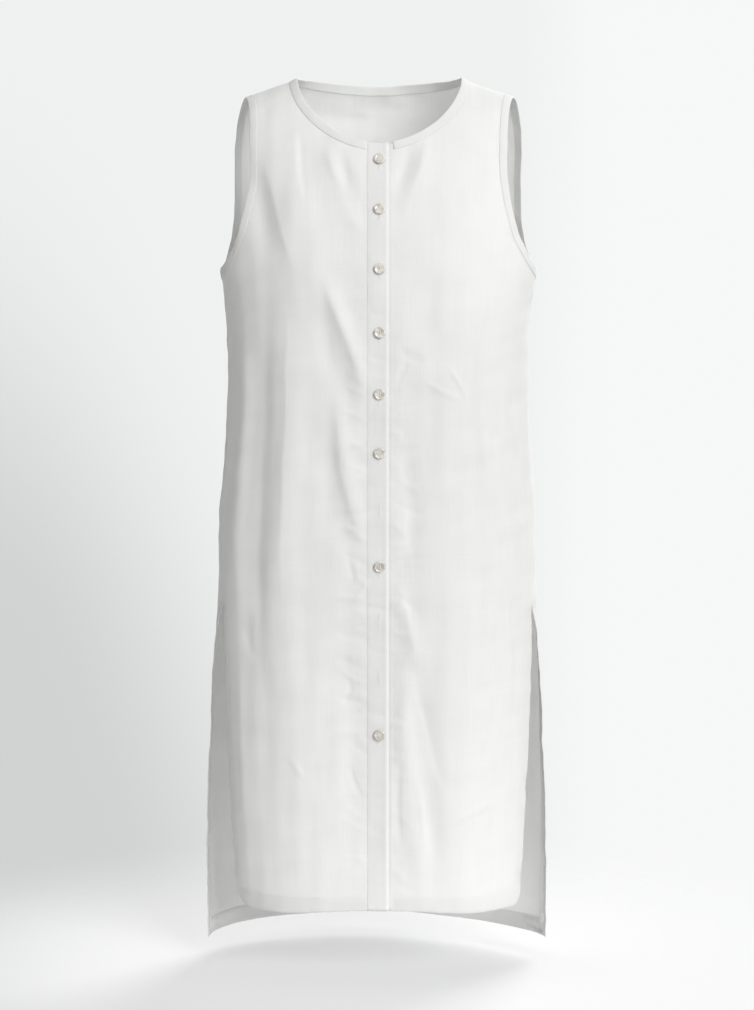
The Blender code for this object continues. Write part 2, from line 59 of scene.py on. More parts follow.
FLOOR_LIGHT = (0.370, 0.375, 0.373, 1)
FLOOR_ROUGHNESS = 0.9
# The backdrop's shade tone is painted shade, and its tone towards +X is painted light.
BACKDROP_TONE = (0.868, 0.882, 0.882, 1)
BACKDROP_SHADE = (0.635, 0.650, 0.645, 1)
BACKDROP_PAINTED_LIGHT = (0.93, 0.935, 0.935, 1)
SHADE_SLANT = 0.37
SHADE_ACROSS = (-0.065, -0.19)
SHADE_DOWN = (0.14, -0.12)
PAINTED_LIGHT_ACROSS = (0.05, 0.10)
ROOM_TONE = (1.0, 0.995, 0.980, 1)
ROOM_LIGHT = 0.48
KEY_FROM = (0.50, -0.77, 0.38)
KEY_STRENGTH = 2.42
BACK_FROM = (0.44, 0.78, 0.44)
BACK_STRENGTH = 2.50
LIGHT_SPREAD = math.radians(32)


def placed(name, data):
    """Object in the scene."""
    made = bpy.data.objects.new(name, data)
    bpy.context.scene.collection.objects.link(made)
    return made


def sun(name, source, strength):
    """Wide soft light from a direction."""
    data = bpy.data.lights.new(name, "SUN")
    data.energy = strength
    data.angle = LIGHT_SPREAD
    lamp = placed(name, data)
    lamp.rotation_mode = "QUATERNION"
    lamp.rotation_quaternion = Vector(source).to_track_quat("Z", "Y")


def feed(tree, node, sockets):
    """Give a node's sockets values or links from other nodes."""
    for name, value in sockets.items():
        if isinstance(value, bpy.types.NodeSocket):
            tree.links.new(value, node.inputs[name])
        else:
            node.inputs[name].default_value = value
    return node


def add_node(tree, kind, sockets, **settings):
    """Node with its settings and fed sockets."""
    node = tree.nodes.new(kind)
    for name, value in settings.items():
        setattr(node, name, value)
    return feed(tree, node, sockets)


def maths(tree, operation, *values):
    """Result of a math node fed with sockets or numbers."""
    return add_node(tree, "ShaderNodeMath", dict(enumerate(values)), operation=operation).outputs[0]


def soft_step(tree, value, low, high, to_low=0.0, to_high=1.0):
    """Smooth clamped step of a value."""
    return add_node(tree, "ShaderNodeMapRange",
                    {"From Min": low, "From Max": high, "To Min": to_low, "To Max": to_high,
                     "Value": value}, interpolation_type="SMOOTHSTEP").outputs["Result"]


def mixed_tone(tree, share, one, other):
    """Colour between two others."""
    return add_node(tree, "ShaderNodeMix", {"Factor": share, "A": one, "B": other},
                    data_type="RGBA").outputs["Result"]


def new_material(name):
    """Material with its node tree and shader."""
    material = bpy.data.materials.new(name)
    material.use_nodes = True
    return material, material.node_tree, material.node_tree.nodes["Principled BSDF"]


camera_data = bpy.data.cameras.new("camera")
camera_data.sensor_width = SENSOR
camera_data.lens = FOCAL_PIXELS / PICTURE_HEIGHT * SENSOR
camera = placed("camera", camera_data)
camera.location = CAMERA_PLACE
camera.rotation_euler = (math.pi / 2 - CAMERA_TILT, 0, 0)
bpy.context.scene.camera = camera
bpy.context.scene.view_settings.view_transform = "Standard"

sun("key", KEY_FROM, KEY_STRENGTH)
sun("rear", BACK_FROM, BACK_STRENGTH)

world = bpy.data.worlds.new("studio")
bpy.context.scene.world = world
world.use_nodes = True
tree = world.node_tree
tree.nodes.clear()
direction = add_node(tree, "ShaderNodeTexCoord", {}).outputs["Generated"]
parts = add_node(tree, "ShaderNodeSeparateXYZ", {0: direction}).outputs
slanted = maths(tree, "MULTIPLY_ADD", parts["Z"], SHADE_SLANT, parts["X"])
shaded = maths(tree, "MULTIPLY", soft_step(tree, slanted, *SHADE_ACROSS),
               soft_step(tree, parts["Z"], *SHADE_DOWN))
# Painted light towards +X over the painted shade of the backdrop
backdrop = mixed_tone(tree, soft_step(tree, parts["X"], *PAINTED_LIGHT_ACROSS),
                      mixed_tone(tree, shaded, BACKDROP_TONE, BACKDROP_SHADE), BACKDROP_PAINTED_LIGHT)
seen = add_node(tree, "ShaderNodeBackground", {"Color": backdrop})
unseen = add_node(tree, "ShaderNodeBackground", {"Color": ROOM_TONE, "Strength": ROOM_LIGHT})
ray = add_node(tree, "ShaderNodeLightPath", {}).outputs["Is Camera Ray"]
whole = add_node(tree, "ShaderNodeMixShader",
                 {"Fac": ray, 1: unseen.outputs[0], 2: seen.outputs[0]})
add_node(tree, "ShaderNodeOutputWorld", {"Surface": whole.outputs[0]})

floor_material, tree, paint = new_material("floor")
place = add_node(tree, "ShaderNodeTexCoord", {}).outputs["Object"]
flat = add_node(tree, "ShaderNodeVectorMath", {0: place, 1: (1, 1, 0)}, operation="MULTIPLY")
reach = add_node(tree, "ShaderNodeVectorMath", {0: flat.outputs[0]}, operation="LENGTH")
feed(tree, paint, {
    "Base Color": FLOOR_TONE, "Roughness": FLOOR_ROUGHNESS, "Emission Color": FLOOR_LIGHT,
    "Emission Strength": 1,
    "Alpha": soft_step(tree, reach.outputs["Value"], *FLOOR_FADE, 1.0, 0.0)})

ground = bmesh.new()
bmesh.ops.create_circle(ground, cap_ends=True, segments=96, radius=FLOOR_RADIUS)
bmesh.ops.translate(ground, vec=(0, 0, FLOOR_HEIGHT), verts=ground.verts[:])
floor_mesh = bpy.data.meshes.new("floor")
ground.to_mesh(floor_mesh)
ground.free()
floor_mesh.materials.append(floor_material)
placed("floor", floor_mesh)

# Back
# One piece of fine woven cloth from the shoulder seams down to the long hem, hung from the
# shoulders. Its vent edges and hem are turned under twice and stitched.
CLOTH = 0.00042
EDGE_BULGE = 0.4
SEAM_GAP = 0.0003
SEAM_SINK = 0.00012
SEAM_REACH = 0.0016
SEAM_UNDER = 0.0012
BINDING_WIDTH = 0.0100
NECK_HALF = 0.1012
NECK_DEPTH_FRONT = 0.0851
NECK_DEPTH_BACK = 0.0042
NECK_ROUNDNESS = 1.8
SHOULDER_SLOPE = 0.38
SHOULDER_HALF = 0.1666
RIDGE_ROUND = 0.060
RIDGE_FADE = 0.400
UNDERARM = 0.2378
VENT_TOP = 0.644
FRONT_LENGTH = 1.0135
FRONT_DIP = 0.0055
DIP_START = 0.030
DIP_RUN = 0.100
BACK_LENGTH = 1.0765
SQUARENESS = 2.6
HEM_SQUARENESS_RIGHT = 2.0
HEM_SQUARENESS_LEFT = 1.45

# Sections of the worn form in millimetres, by drop below the shoulder ridge
SECTION_COLUMNS = ("drop", "front_half", "back_half", "front_depth", "back_depth",
                   "front_sway", "back_sway")
SECTIONS = np.array([
    (0, 198, 198, 0, 0, 0, 0),
    (8, 198, 198, 27, 40, 0, 0),
    (25, 198.3, 198.3, 47, 64, -0.3, -0.3),
    (60, 198.4, 198.4, 67, 86, -1.0, -1.0),
    (110, 198.6, 198.6, 84, 98, -1.6, -1.6),
    (160, 198.8, 198.8, 99, 102, -1.8, -1.8),
    (223, 196.1, 196.1, 117, 101, -0.8, -0.8),
    (275, 189.9, 189.9, 124, 98, -1.2, -1.2),
    (326, 187.6, 187.6, 127, 96, -0.8, -0.8),
    (436, 190.0, 190.0, 126, 97, -1.2, -1.2),
    (556, 197.5, 197.5, 124, 107, -2.6, -2.6),
    (647, 198.9, 198.9, 123, 115, -2.4, -2.8),
    (731, 197.3, 205.3, 123, 121, -1.4, -4.0),
    (817, 194.6, 209.7, 124, 127, -1.6, -3.8),
    (918, 190.0, 214.2, 126, 135, -1.8, -3.6),
    (1013, 184.3, 214.7, 128, 142, -1.2, -3.2),
    (1106, 182.6, 214.1, 129, 146, -1.0, -2.8),
]) / 1000

# Armhole edge in millimetres: height under the neck points, then half widths in front and behind
ARMHOLE = np.array([
    (44, 158.7, 176.0),
    (74, 157.3, 180.1),
    (128, 157.5, 180.8),
    (169, 164.1, 182.5),
    (202, 174.1, 187.1),
    (225, 186.2, 193.1),
]) / 1000

# Side seam and vent edge: drop in metres and turn in degrees from the centre front
SIDE_SEAM = ((0.233, 90), (0.297, 82), (0.376, 76), (0.476, 74), (0.576, 72), (VENT_TOP, 66))
BACK_VENT = ((VENT_TOP, 66), (0.688, 77), (0.738, 84), (0.820, 89), (0.900, 90), (1.090, 90))

# Folds and creases in millimetres: round the girth from the centre front and down from the
# ridge, at the start and at the end, then width, depth (a trough is negative), sideways bend and
# lean, by which the fold is wider on its right and narrower on its left
FRONT_FOLDS = [
    (-45, 98, -12, 205, 9, -2.0, -4, 0),
    (-62, 88, -14, 212, 9, 1.6, -5, 0),
    (-86, 60, -64, 210, 12, -2.0, 0, 0),
    (-166, 70, -124, 236, 18, -4.4, 6, 0),
    (-108, 215, -110, 900, 22, 3.4, 0, 0),
    (-146, 225, -144, 800, 18, -3.2, 0, -0.4),
    (-176, 245, -178, 690, 12, 1.8, 0, 0),
    (-206, 250, -210, 700, 16, -2.2, 0, 0),
    (-90, 96, -84, 330, 32, 5.0, 0, -0.1),
    (104, 110, 100, 340, 34, 4.5, 0, 0),
    (-68, 232, -10, 396, 11, 3.0, -4, 0),
    (-88, 248, -24, 424, 14, -2.2, -4, 0),
    (-50, 376, -13, 586, 12, 2.6, -6, 0),
    (-68, 400, -28, 606, 16, -2.0, -6, 0),
    (-46, 640, -30, 940, 16, -2.0, 8, 0),
    (40, 100, 18, 172, 8, -1.6, 0, 0),
    (62, 86, 24, 196, 10, 1.8, 4, 0),
    (142, 34, 110, 160, 14, -2.2, 4, 0),
    (68, 232, 50, 352, 14, -2.2, 0, 0),
    (92, 260, 78, 520, 20, 1.8, 0, 0),
    (30, 420, 37, 606, 11, -2.2, 4, 0),
    (18, 608, 46, 730, 9, 2.2, 4, 0),
    (44, 690, 92, 1060, 15, -2.6, -8, 0),
    (26, 640, 60, 1040, 12, 2.2, -6, 0),
    (150, 275, 158, 900, 20, 1.8, 0, 0),
    (188, 290, 194, 640, 16, -2.4, 0, 0),
    (84, 470, 98, 1110, 45, 7.5, 0, 0),
    (-30, 600, -28, 1060, 40, -4.0, 0, 0),
]
BACK_FOLDS = [
    (292, 250, 294, 660, 14, 2.2, 0, 0),
    (396, 120, 322, 280, 17, -3.2, 8, 0),
    (328, 300, 336, 760, 22, -3.0, 0, 0),
    (364, 380, 352, 1180, 28, 3.6, 6, 0),
    (402, 120, 412, 600, 22, 3.0, 0, 0),
    (440, 210, 434, 900, 20, -3.2, 5, 0),
    (470, 330, 476, 1180, 24, 3.2, 0, 0),
    (506, 560, 502, 1200, 22, -3.6, 0, 0),
    (540, 280, 536, 1180, 24, 3.4, -4, 0),
    (576, 170, 570, 820, 20, -3.2, 4, 0),
    (612, 110, 600, 620, 24, 3.0, 0, 0),
    (648, 420, 660, 1180, 28, 3.6, -6, 0),
    (684, 260, 676, 760, 20, -3.0, 0, 0),
    (616, 125, 684, 275, 17, -3.4, -8, 0),
    (716, 250, 720, 660, 14, 2.0, 0, 0),
    (470, 34, 540, 40, 12, -1.6, 4, 0),
]
FRONT_CREASES = [
    (-66, 94, -20, 176, 4.0, 0.9, -4, 0.2),
    (-40, 103, -14, 152, 4.0, 0.8, -2, -0.2),
    (-95, 60, -80, 165, 4.5, -0.9, -2, 0.2),
    (-68, 238, -12, 384, 7.5, 1.5, -4, 0.3),
    (-54, 384, -17, 574, 8.0, 1.2, -6, 0.3),
    (-34, 730, -48, 766, 3.5, -0.8, 6, 0.0),
    (-33, 582, -26, 614, 3.5, -0.8, 0, 0.0),
    (-36, 832, -18, 880, 3.5, -0.8, -3, 0.0),
    (-110, 824, -86, 854, 3.5, 0.8, 0, 0.0),
    (-162, 664, -144, 720, 7.0, -0.7, -5, 0.2),
    (-148, 640, -152, 720, 7.0, 0.6, 0, 0.0),
    (40, 104, 20, 154, 4.2, -1.3, 2, 0.0),
    (60, 90, 28, 166, 5.0, 1.4, 3, 0.0),
    (36, 342, 21, 382, 3.5, -0.9, 0, 0.0),
    (20, 332, 62, 349, 2.6, -1.3, -2, 0.2),
    (50, 370, 104, 394, 2.8, 1.1, -3, 0.0),
    (80, 351, 111, 396, 2.8, 1.1, 3, 0.0),
    (19, 589, 70, 585, 3.0, -0.7, 2, 0.0),
    (24, 824, 27, 944, 4.5, -1.1, 0, -0.3),
    (45, 720, 87, 880, 7.0, -1.2, -6, 0.3),
    (42, 842, 60, 952, 4.6, 0.8, 2, 0.0),
    (86, 914, 152, 885, 3.4, 1.5, 7, 0.0),
    (120, 300, 128, 520, 7.0, 0.6, 3, 0.0),
    (128, 560, 118, 760, 7.0, -0.7, -3, 0.0),
    (150, 640, 166, 800, 6.0, 0.7, 4, 0.0),
    (-212, 300, -220, 560, 6.0, 0.8, 3, 0.0),
    (-24, 643, 20, 649, 2.6, -0.8, 1, 0.0),
    (-20, 769, 24, 776, 2.8, -0.7, -1, 0.0),
    (-18, 878, 22, 875, 2.6, -0.6, 1, 0.0),
    (214, 320, 222, 600, 6.0, 0.7, -3, 0.0),
    (-176, 700, -182, 940, 8.0, 0.9, 4, 0.0),
]
BACK_CREASES = [
    (384, 110, 330, 250, 5.0, 1.0, 7, 0.3),
    (628, 112, 682, 252, 5.0, 1.0, -7, -0.3),
    (420, 60, 392, 150, 4.5, -0.8, 5, 0.0),
    (590, 62, 616, 150, 4.5, -0.8, -5, 0.0),
    (452, 46, 500, 54, 3.4, 0.6, 4, 0.0),
    (508, 60, 566, 48, 3.4, -0.6, 4, 0.0),
    (350, 300, 362, 520, 5.0, 1.0, 4, 0.3),
    (384, 560, 378, 820, 6.0, -1.0, -4, 0.0),
    (424, 480, 428, 760, 5.0, 0.9, 3, 0.3),
    (458, 700, 452, 1000, 6.0, -1.0, 5, 0.0),
    (492, 300, 488, 520, 5.0, -0.8, -4, 0.0),
    (520, 640, 526, 930, 5.0, 1.0, 4, -0.3),
    (556, 420, 560, 700, 6.0, -0.9, 0, 0.0),
    (590, 740, 598, 1060, 6.0, 1.0, -5, 0.0),
    (632, 330, 626, 560, 5.0, 0.9, 4, -0.3),
    (664, 600, 660, 860, 6.0, -1.0, -4, 0.0),
    (400, 880, 412, 1120, 6.0, 0.8, 4, 0.0),
    (480, 900, 484, 1120, 5.0, -0.8, -3, 0.0),
    (560, 900, 552, 1120, 5.0, 0.8, 3, 0.0),
    (640, 900, 632, 1120, 6.0, -0.8, -4, 0.0),
    (310, 270, 360, 250, 3.6, 0.7, 5, 0.0),
    (700, 270, 650, 256, 3.6, 0.7, -5, 0.0),
]

# Folds with a sharper crest, in the same columns
FRONT_EDGES = [
    (-113, 215, -112, 690, 20, 3.2, 0, 0.35),
    (-142, 84, -100, 250, 16, 3.0, 4, 0.3),
    (-36, 100, -15, 200, 9, 1.1, -3, 0.2),
    (58, 92, 24, 190, 9, 1.0, 3, -0.2),
    (17, 600, 46, 722, 8, 1.0, 4, 0.0),
]
EDGE_ROUND = 0.0014

# Small puckers that the stitching of the button front draws beside it and across it, in
# millimetres
PUCKER_SPACE = (7, 24)
PUCKER_RUN = (140, 960)
PUCKER_STRONG = (430, 800)
PUCKER_REACH = (12, 42)
PUCKER_DEPTH = (0.20, 0.50)
PUCKER_GAIN = 1.7
PUCKER_SLANT = 30
PUCKER_WIDTH = (2.8, 5.2)
PUCKER_BEND = 2
PUCKER_UNDER = 6
PUCKER_START = ((-1, 15), (1, 17))
DENT_SPACE = (14, 44)
DENT_ACROSS = (-15, 12)
DENT_SLANT = 6
DENT_WIDTH = (2.6, 5.0)
DENT_DEPTH = (0.2, 0.5)
DENT_BEND = 1
FOLD_END = 0.35
CREASE_DEPTH = 1.15
FOLD_WAVER = 0.0011
WAVER_LENGTH = 0.017
RUMPLE = 0.00015
RUMPLE_LENGTH = (0.022, 0.075)


def puckers(generator):
    """Rows of short creases on both sides of the button front."""
    rows = []
    for side, start in PUCKER_START:
        drop = PUCKER_RUN[0]
        while drop < PUCKER_RUN[1]:
            drop += generator.uniform(*PUCKER_SPACE)
            strong = PUCKER_STRONG[0] < drop < PUCKER_STRONG[1]
            reach = generator.uniform(*PUCKER_REACH)
            depth = generator.uniform(*PUCKER_DEPTH) * (PUCKER_GAIN if strong else 1)
            slant = generator.uniform(-PUCKER_SLANT, PUCKER_SLANT)
            rows.append((side * (start - PUCKER_UNDER), drop, side * (start + reach), drop + slant,
                         generator.uniform(*PUCKER_WIDTH), depth * generator.choice((-1, 1)),
                         generator.uniform(-PUCKER_BEND, PUCKER_BEND), 0))
    drop = PUCKER_RUN[0]
    while drop < PUCKER_RUN[1]:
        drop += generator.uniform(*DENT_SPACE)
        rows.append((DENT_ACROSS[0], drop, DENT_ACROSS[1],
                     drop + generator.uniform(-DENT_SLANT, DENT_SLANT),
                     generator.uniform(*DENT_WIDTH),
                     generator.uniform(*DENT_DEPTH) * generator.choice((-1, 1)),
                     generator.uniform(-DENT_BEND, DENT_BEND), 0))
    return rows


FOLDS = np.array(FRONT_FOLDS + BACK_FOLDS + FRONT_CREASES + BACK_CREASES
                 + puckers(np.random.default_rng(11)) + FRONT_EDGES)
FOLDS[:, :7] /= 1000
FOLDS[len(FRONT_FOLDS) + len(BACK_FOLDS):, 5] *= CREASE_DEPTH


def smooth(value):
    """Soft step from 0 to 1."""
    part = np.clip(value, 0, 1)
    return part * part * (3 - 2 * part)


def through(keys, values, at):
    """Smooth curve through the points of a table."""
    keys = np.asarray(keys, float)
    values = np.asarray(values, float)
    slopes = np.gradient(values, keys)
    place = np.clip(np.searchsorted(keys, at) - 1, 0, len(keys) - 2)
    span = keys[place + 1] - keys[place]
    part = np.clip((at - keys[place]) / span, 0, 1)
    square, cube = part ** 2, part ** 3
    return (values[place] * (2 * cube - 3 * square + 1)
            + values[place + 1] * (3 * square - 2 * cube)
            + slopes[place] * span * (cube - 2 * square + part)
            + slopes[place + 1] * span * (cube - square))


def section(name, root):
    """Value of one column of the sections at the square root of a drop."""
    return through(np.sqrt(SECTIONS[:, 0]), SECTIONS[:, SECTION_COLUMNS.index(name)], root)


def ridge(x):
    """Height of the shoulder ridge."""
    reach = math.hypot(NECK_HALF, RIDGE_ROUND)
    return SHOULDER_SLOPE * (reach - np.sqrt(x ** 2 + RIDGE_ROUND ** 2))


def squareness(turn, root, sheet):
    """Exponent of the section, softer where the back hangs free under the vents."""
    if sheet == "front":
        return np.full(np.shape(turn), SQUARENESS)
    loose = smooth((root ** 2 - VENT_TOP) / (BACK_LENGTH - VENT_TOP))
    side = smooth(0.5 + np.sin(turn))
    target = HEM_SQUARENESS_RIGHT + (HEM_SQUARENESS_LEFT - HEM_SQUARENESS_RIGHT) * side
    return SQUARENESS + (target - SQUARENESS) * loose


def body_form(turn, root, sheet):
    """Point of the worn form: turn from the centre front, root of the drop, front or back."""
    turn, root = np.broadcast_arrays(np.asarray(turn, float), np.asarray(root, float))
    sine, cosine = np.sin(turn), np.cos(turn)
    power = squareness(turn, root, sheet)
    reach = (np.abs(sine) ** power + np.abs(cosine) ** power) ** (1 / power)
    depth = np.where(cosine > 0, section("front_depth", root), section("back_depth", root))
    x = section(sheet + "_sway", root) + section(sheet + "_half", root) * sine / reach
    y = -depth * cosine / reach
    drop = root ** 2
    z = ridge(x) * (1 - smooth(drop / RIDGE_FADE)) - drop
    return np.stack([x, y, z], -1)


def normals(surface, turn, root, sheet):
    """Outward directions of a surface."""
    step = 1e-4
    across = surface(turn + step, root, sheet) - surface(turn - step, root, sheet)
    down = surface(turn, root + step, sheet) - surface(turn, np.maximum(root - step, 0), sheet)
    out = np.cross(down, across)
    return out / np.linalg.norm(out, axis=-1, keepdims=True)


def lengths_along(points):
    """Distance of each point of a line from its first."""
    steps = np.linalg.norm(np.diff(points, axis=0), axis=1)
    return np.concatenate([[0], np.cumsum(steps)])


def girth_table():
    """Distance round the waist section for each turn from the centre front."""
    turns = np.linspace(-math.pi, 3 * math.pi, 1441)
    ring = body_form(turns, math.sqrt(0.45), "front")
    lengths = lengths_along(ring)
    return turns, lengths - np.interp(0, turns, lengths)


GIRTH_TURNS, GIRTHS = girth_table()


def turn_of_girth(girth):
    """Turn at a distance round the girth."""
    return np.interp(girth, GIRTHS, GIRTH_TURNS)


def girth_of_turn(turn):
    """Distance round the girth of a turn."""
    return np.interp(turn, GIRTH_TURNS, GIRTHS)


def rumple_waves(generator, count):
    """Directions, lengths and starts of the faint waves that keep the cloth from lying even."""
    angle = generator.uniform(0, math.pi, count)
    rate = 2 * math.pi / generator.uniform(*RUMPLE_LENGTH, count)
    return rate * np.cos(angle), rate * np.sin(angle), generator.uniform(0, 2 * math.pi, count)


RUMPLE_WAVES = rumple_waves(np.random.default_rng(5), 14)


def fold_height(turn, root):
    """How far the folds lift or sink the cloth."""
    around = girth_of_turn(turn)
    whole = girth_of_turn(2 * math.pi)
    drop = root ** 2
    total = np.zeros(np.shape(around))
    for number, (start_g, start_d, end_g, end_d, width, depth, bend, lean) in enumerate(FOLDS):
        length = math.hypot(end_g - start_g, end_d - start_d)
        along_g, along_d = (end_g - start_g) / length, (end_d - start_d) / length
        beyond = around - start_g
        beyond = beyond - whole * np.round((beyond - (end_g - start_g) / 2) / whole)
        part = (beyond * along_g + (drop - start_d) * along_d) / length
        inside = np.clip(part, 0, 1)
        side = beyond * along_d - (drop - start_d) * along_g - bend * np.sin(math.pi * inside)
        side = side + FOLD_WAVER * np.sin(inside * length / WAVER_LENGTH + 2.4 * number)
        ends = smooth(inside / FOLD_END) * smooth((1 - inside) / FOLD_END)
        spread_out = width * (1 + lean * np.sign(side))
        away = np.abs(side) / spread_out
        if number >= len(FOLDS) - len(FRONT_EDGES):
            away = np.sqrt((np.hypot(side, EDGE_ROUND) - EDGE_ROUND) / spread_out)
        total = total + depth * np.exp(-away ** 2) * ends
    for rate_g, rate_d, start in zip(*RUMPLE_WAVES):
        total = total + RUMPLE * np.sin(around * rate_g + drop * rate_d + start)
    return total


def cloth(turn, root, sheet):
    """Point of the cloth's outer face, folds and all."""
    turn, root = np.broadcast_arrays(np.asarray(turn, float), np.asarray(root, float))
    lift_up = fold_height(turn, root)[..., None]
    return body_form(turn, root, sheet) + normals(body_form, turn, root, sheet) * lift_up


def drop_at(x, z):
    """Drop of the cloth that lies at a height."""
    drop = -np.asarray(z, float)
    for _ in range(12):
        drop = ridge(x) * (1 - smooth(drop / RIDGE_FADE)) - z
    return np.maximum(drop, 0)


def place_at(x, z, sheet):
    """Turn and root of the cloth at a distance from the middle of its section and a height."""
    x, z = np.broadcast_arrays(np.asarray(x, float), np.asarray(z, float))
    root = np.sqrt(drop_at(x, z))
    share = np.clip(np.abs(x) / section(sheet + "_half", root), 0, 1)
    turn = np.arctan2(share, (1 - share ** SQUARENESS) ** (1 / SQUARENESS))
    if sheet == "back":
        return np.stack([math.pi - np.copysign(turn, x), root], -1)
    return np.stack([np.copysign(turn, x), root], -1)


def turn_at(x, root):
    """Turn of a line near the centre front that keeps its place across."""
    away = x - section("front_sway", root)
    share = np.abs(away) / section("front_half", root)
    turn = np.arctan2(share, (1 - share ** SQUARENESS) ** (1 / SQUARENESS))
    return np.copysign(turn, away)


def beside(places, sheet, distance):
    """A line of places moved sideways by a distance measured on the cloth."""
    turn, root = places[:, 0].copy(), places[:, 1].copy()
    points = body_form(turn, root, sheet)
    along = np.gradient(points, axis=0)
    along /= np.linalg.norm(along, axis=1, keepdims=True)
    target = points + distance * np.cross(normals(body_form, turn, root, sheet), along)
    step = 1e-4
    for _ in range(8):
        here = body_form(turn, root, sheet)
        by_turn = (body_form(turn + step, root, sheet) - here) / step
        by_root = (body_form(turn, root + step, sheet) - here) / step
        for row in range(len(turn)):
            move = np.linalg.lstsq(
                np.stack([by_turn[row], by_root[row]], 1), target[row] - here[row], rcond=None)[0]
            turn[row] += move[0]
            root[row] = max(root[row] + move[1], 0)
    return np.stack([turn, root], -1)


def resampled(places, sheet, shares):
    """Places at shares of the length of the smooth curve through a few places."""
    points = body_form(places[:, 0], places[:, 1], sheet)
    keys = lengths_along(points)
    fine = np.linspace(0, keys[-1], 600)
    turn = through(keys, places[:, 0], fine)
    root = np.maximum(through(keys, places[:, 1], fine), 0)
    points = body_form(turn, root, sheet)
    lengths = lengths_along(points)
    at = lengths[-1] * shares
    return np.stack([np.interp(at, lengths, turn), np.interp(at, lengths, root)], -1)


def neck_edge_height(x):
    """Height of the neck edge in front."""
    share = np.clip(np.abs(x) / NECK_HALF, 0, 1)
    return -NECK_DEPTH_FRONT * (1 - share ** NECK_ROUNDNESS) ** (1 / NECK_ROUNDNESS)


def neck_edge(sheet, side, start, shares):
    """Places on the neck edge: in front from the button front up to the ridge, behind from
    the ridge across to the other ridge."""
    if sheet == "front":
        first = math.asin((start / NECK_HALF) ** (NECK_ROUNDNESS / 2))
        angle = first + (math.pi / 2 - first) * shares
        x = NECK_HALF * np.sin(angle) ** (2 / NECK_ROUNDNESS)
        places = place_at(side * x, neck_edge_height(x), "front")
        places[:, 0] = turn_at(side * x, places[:, 1])
        return places
    x = NECK_HALF * np.cos(math.pi * shares)
    return place_at(x, -NECK_DEPTH_BACK * (1 - (x / NECK_HALF) ** 2), "back")


def neck_seam(sheet, side, start, distance, shares):
    """Places on the line where the neck binding meets a panel."""
    places = neck_edge(sheet, side, start, shares)
    x = NECK_HALF + distance
    if sheet == "front":
        places = beside(places, sheet, -side * distance)
        places[0, 0] = turn_at(side * start, places[0, 1])
        places[-1] = place_at(side * x, ridge(x), sheet)
        return places
    places = beside(places, sheet, -distance)
    places[[0, -1]] = place_at([x, -x], ridge(x), sheet)
    return places


def mirrored(places, sheet, side):
    """The wearer's left side's places, or those of the right side."""
    if side > 0:
        return places
    whole = 0 if sheet == "front" else 2 * math.pi
    return np.stack([whole - places[:, 0], places[:, 1]], -1)


def armhole_edge(sheet, side, shares):
    """Places on an armhole's edge from the ridge down to the underarm."""
    column = 1 if sheet == "front" else 2
    heights = np.concatenate([[-ridge(SHOULDER_HALF)], ARMHOLE[:, 0]])
    halves = np.concatenate([[SHOULDER_HALF], ARMHOLE[:, column]])
    places = place_at(halves, -heights, sheet)
    under = math.sqrt(drop_at(section("front_half", math.sqrt(UNDERARM)), -UNDERARM))
    places = np.concatenate([places, [[math.pi / 2, under]]])
    return resampled(mirrored(places, sheet, side), sheet, shares)


def armhole_seam(sheet, side, distance, shares):
    """Places on the line where an armhole's binding meets a panel."""
    edge = armhole_edge(sheet, side, shares)
    places = beside(edge, sheet, side * (-distance if sheet == "front" else distance))
    x = SHOULDER_HALF - distance
    ends = np.concatenate([place_at([x], ridge(x), sheet),
                           [[math.pi / 2, math.sqrt(edge[-1, 1] ** 2 + distance)]]])
    places[[0, -1]] = mirrored(ends, sheet, side)
    places[-1, 1] = max(places[-2:, 1])
    return places


def side_edge(sheet, side, drops):
    """Places on a side seam and the free vent edge below the armhole."""
    seam = np.array(SIDE_SEAM)
    turn = np.radians(through(seam[:, 0], seam[:, 1], np.minimum(drops, VENT_TOP)))
    if sheet == "back":
        vent = np.array(BACK_VENT)
        turn = np.where(drops > VENT_TOP, np.radians(through(vent[:, 0], vent[:, 1], drops)), turn)
    places = mirrored(np.stack([turn, np.sqrt(drops)], -1), sheet, side)
    return beside(places, sheet, side * (-SEAM_GAP if sheet == "front" else SEAM_GAP) / 2)


def shoulder_line(sheet, side, shares):
    """Places along the shoulder seam from the neck binding out to the armhole binding."""
    inner = NECK_HALF + BINDING_WIDTH - SEAM_UNDER
    outer = SHOULDER_HALF - BINDING_WIDTH + SEAM_UNDER
    x = side * (inner + (outer - inner) * shares)
    places = place_at(x, ridge(x), sheet)
    turned = side if sheet == "front" else -side
    return beside(places, sheet, turned * -SEAM_GAP / 2)


def panel_sides(sheet, side, armhole_shares, drops, top_root):
    """The outer edge of a panel and how far down each of its rows lies."""
    edge = np.concatenate([armhole_seam(sheet, side, BINDING_WIDTH - SEAM_UNDER, armhole_shares),
                           side_edge(sheet, side, drops)])
    points = body_form(edge[:, 0], edge[:, 1], sheet)
    lengths = lengths_along(points)
    roots = np.sqrt(top_root ** 2 + (drops[-1] - top_root ** 2) * lengths / lengths[-1])
    by_length = (roots - top_root) / (roots[-1] - top_root)
    by_root = (edge[:, 1] - edge[0, 1]) / (edge[-1, 1] - edge[0, 1])
    return edge, by_length + (by_root - by_length) * ROOT_SHARE


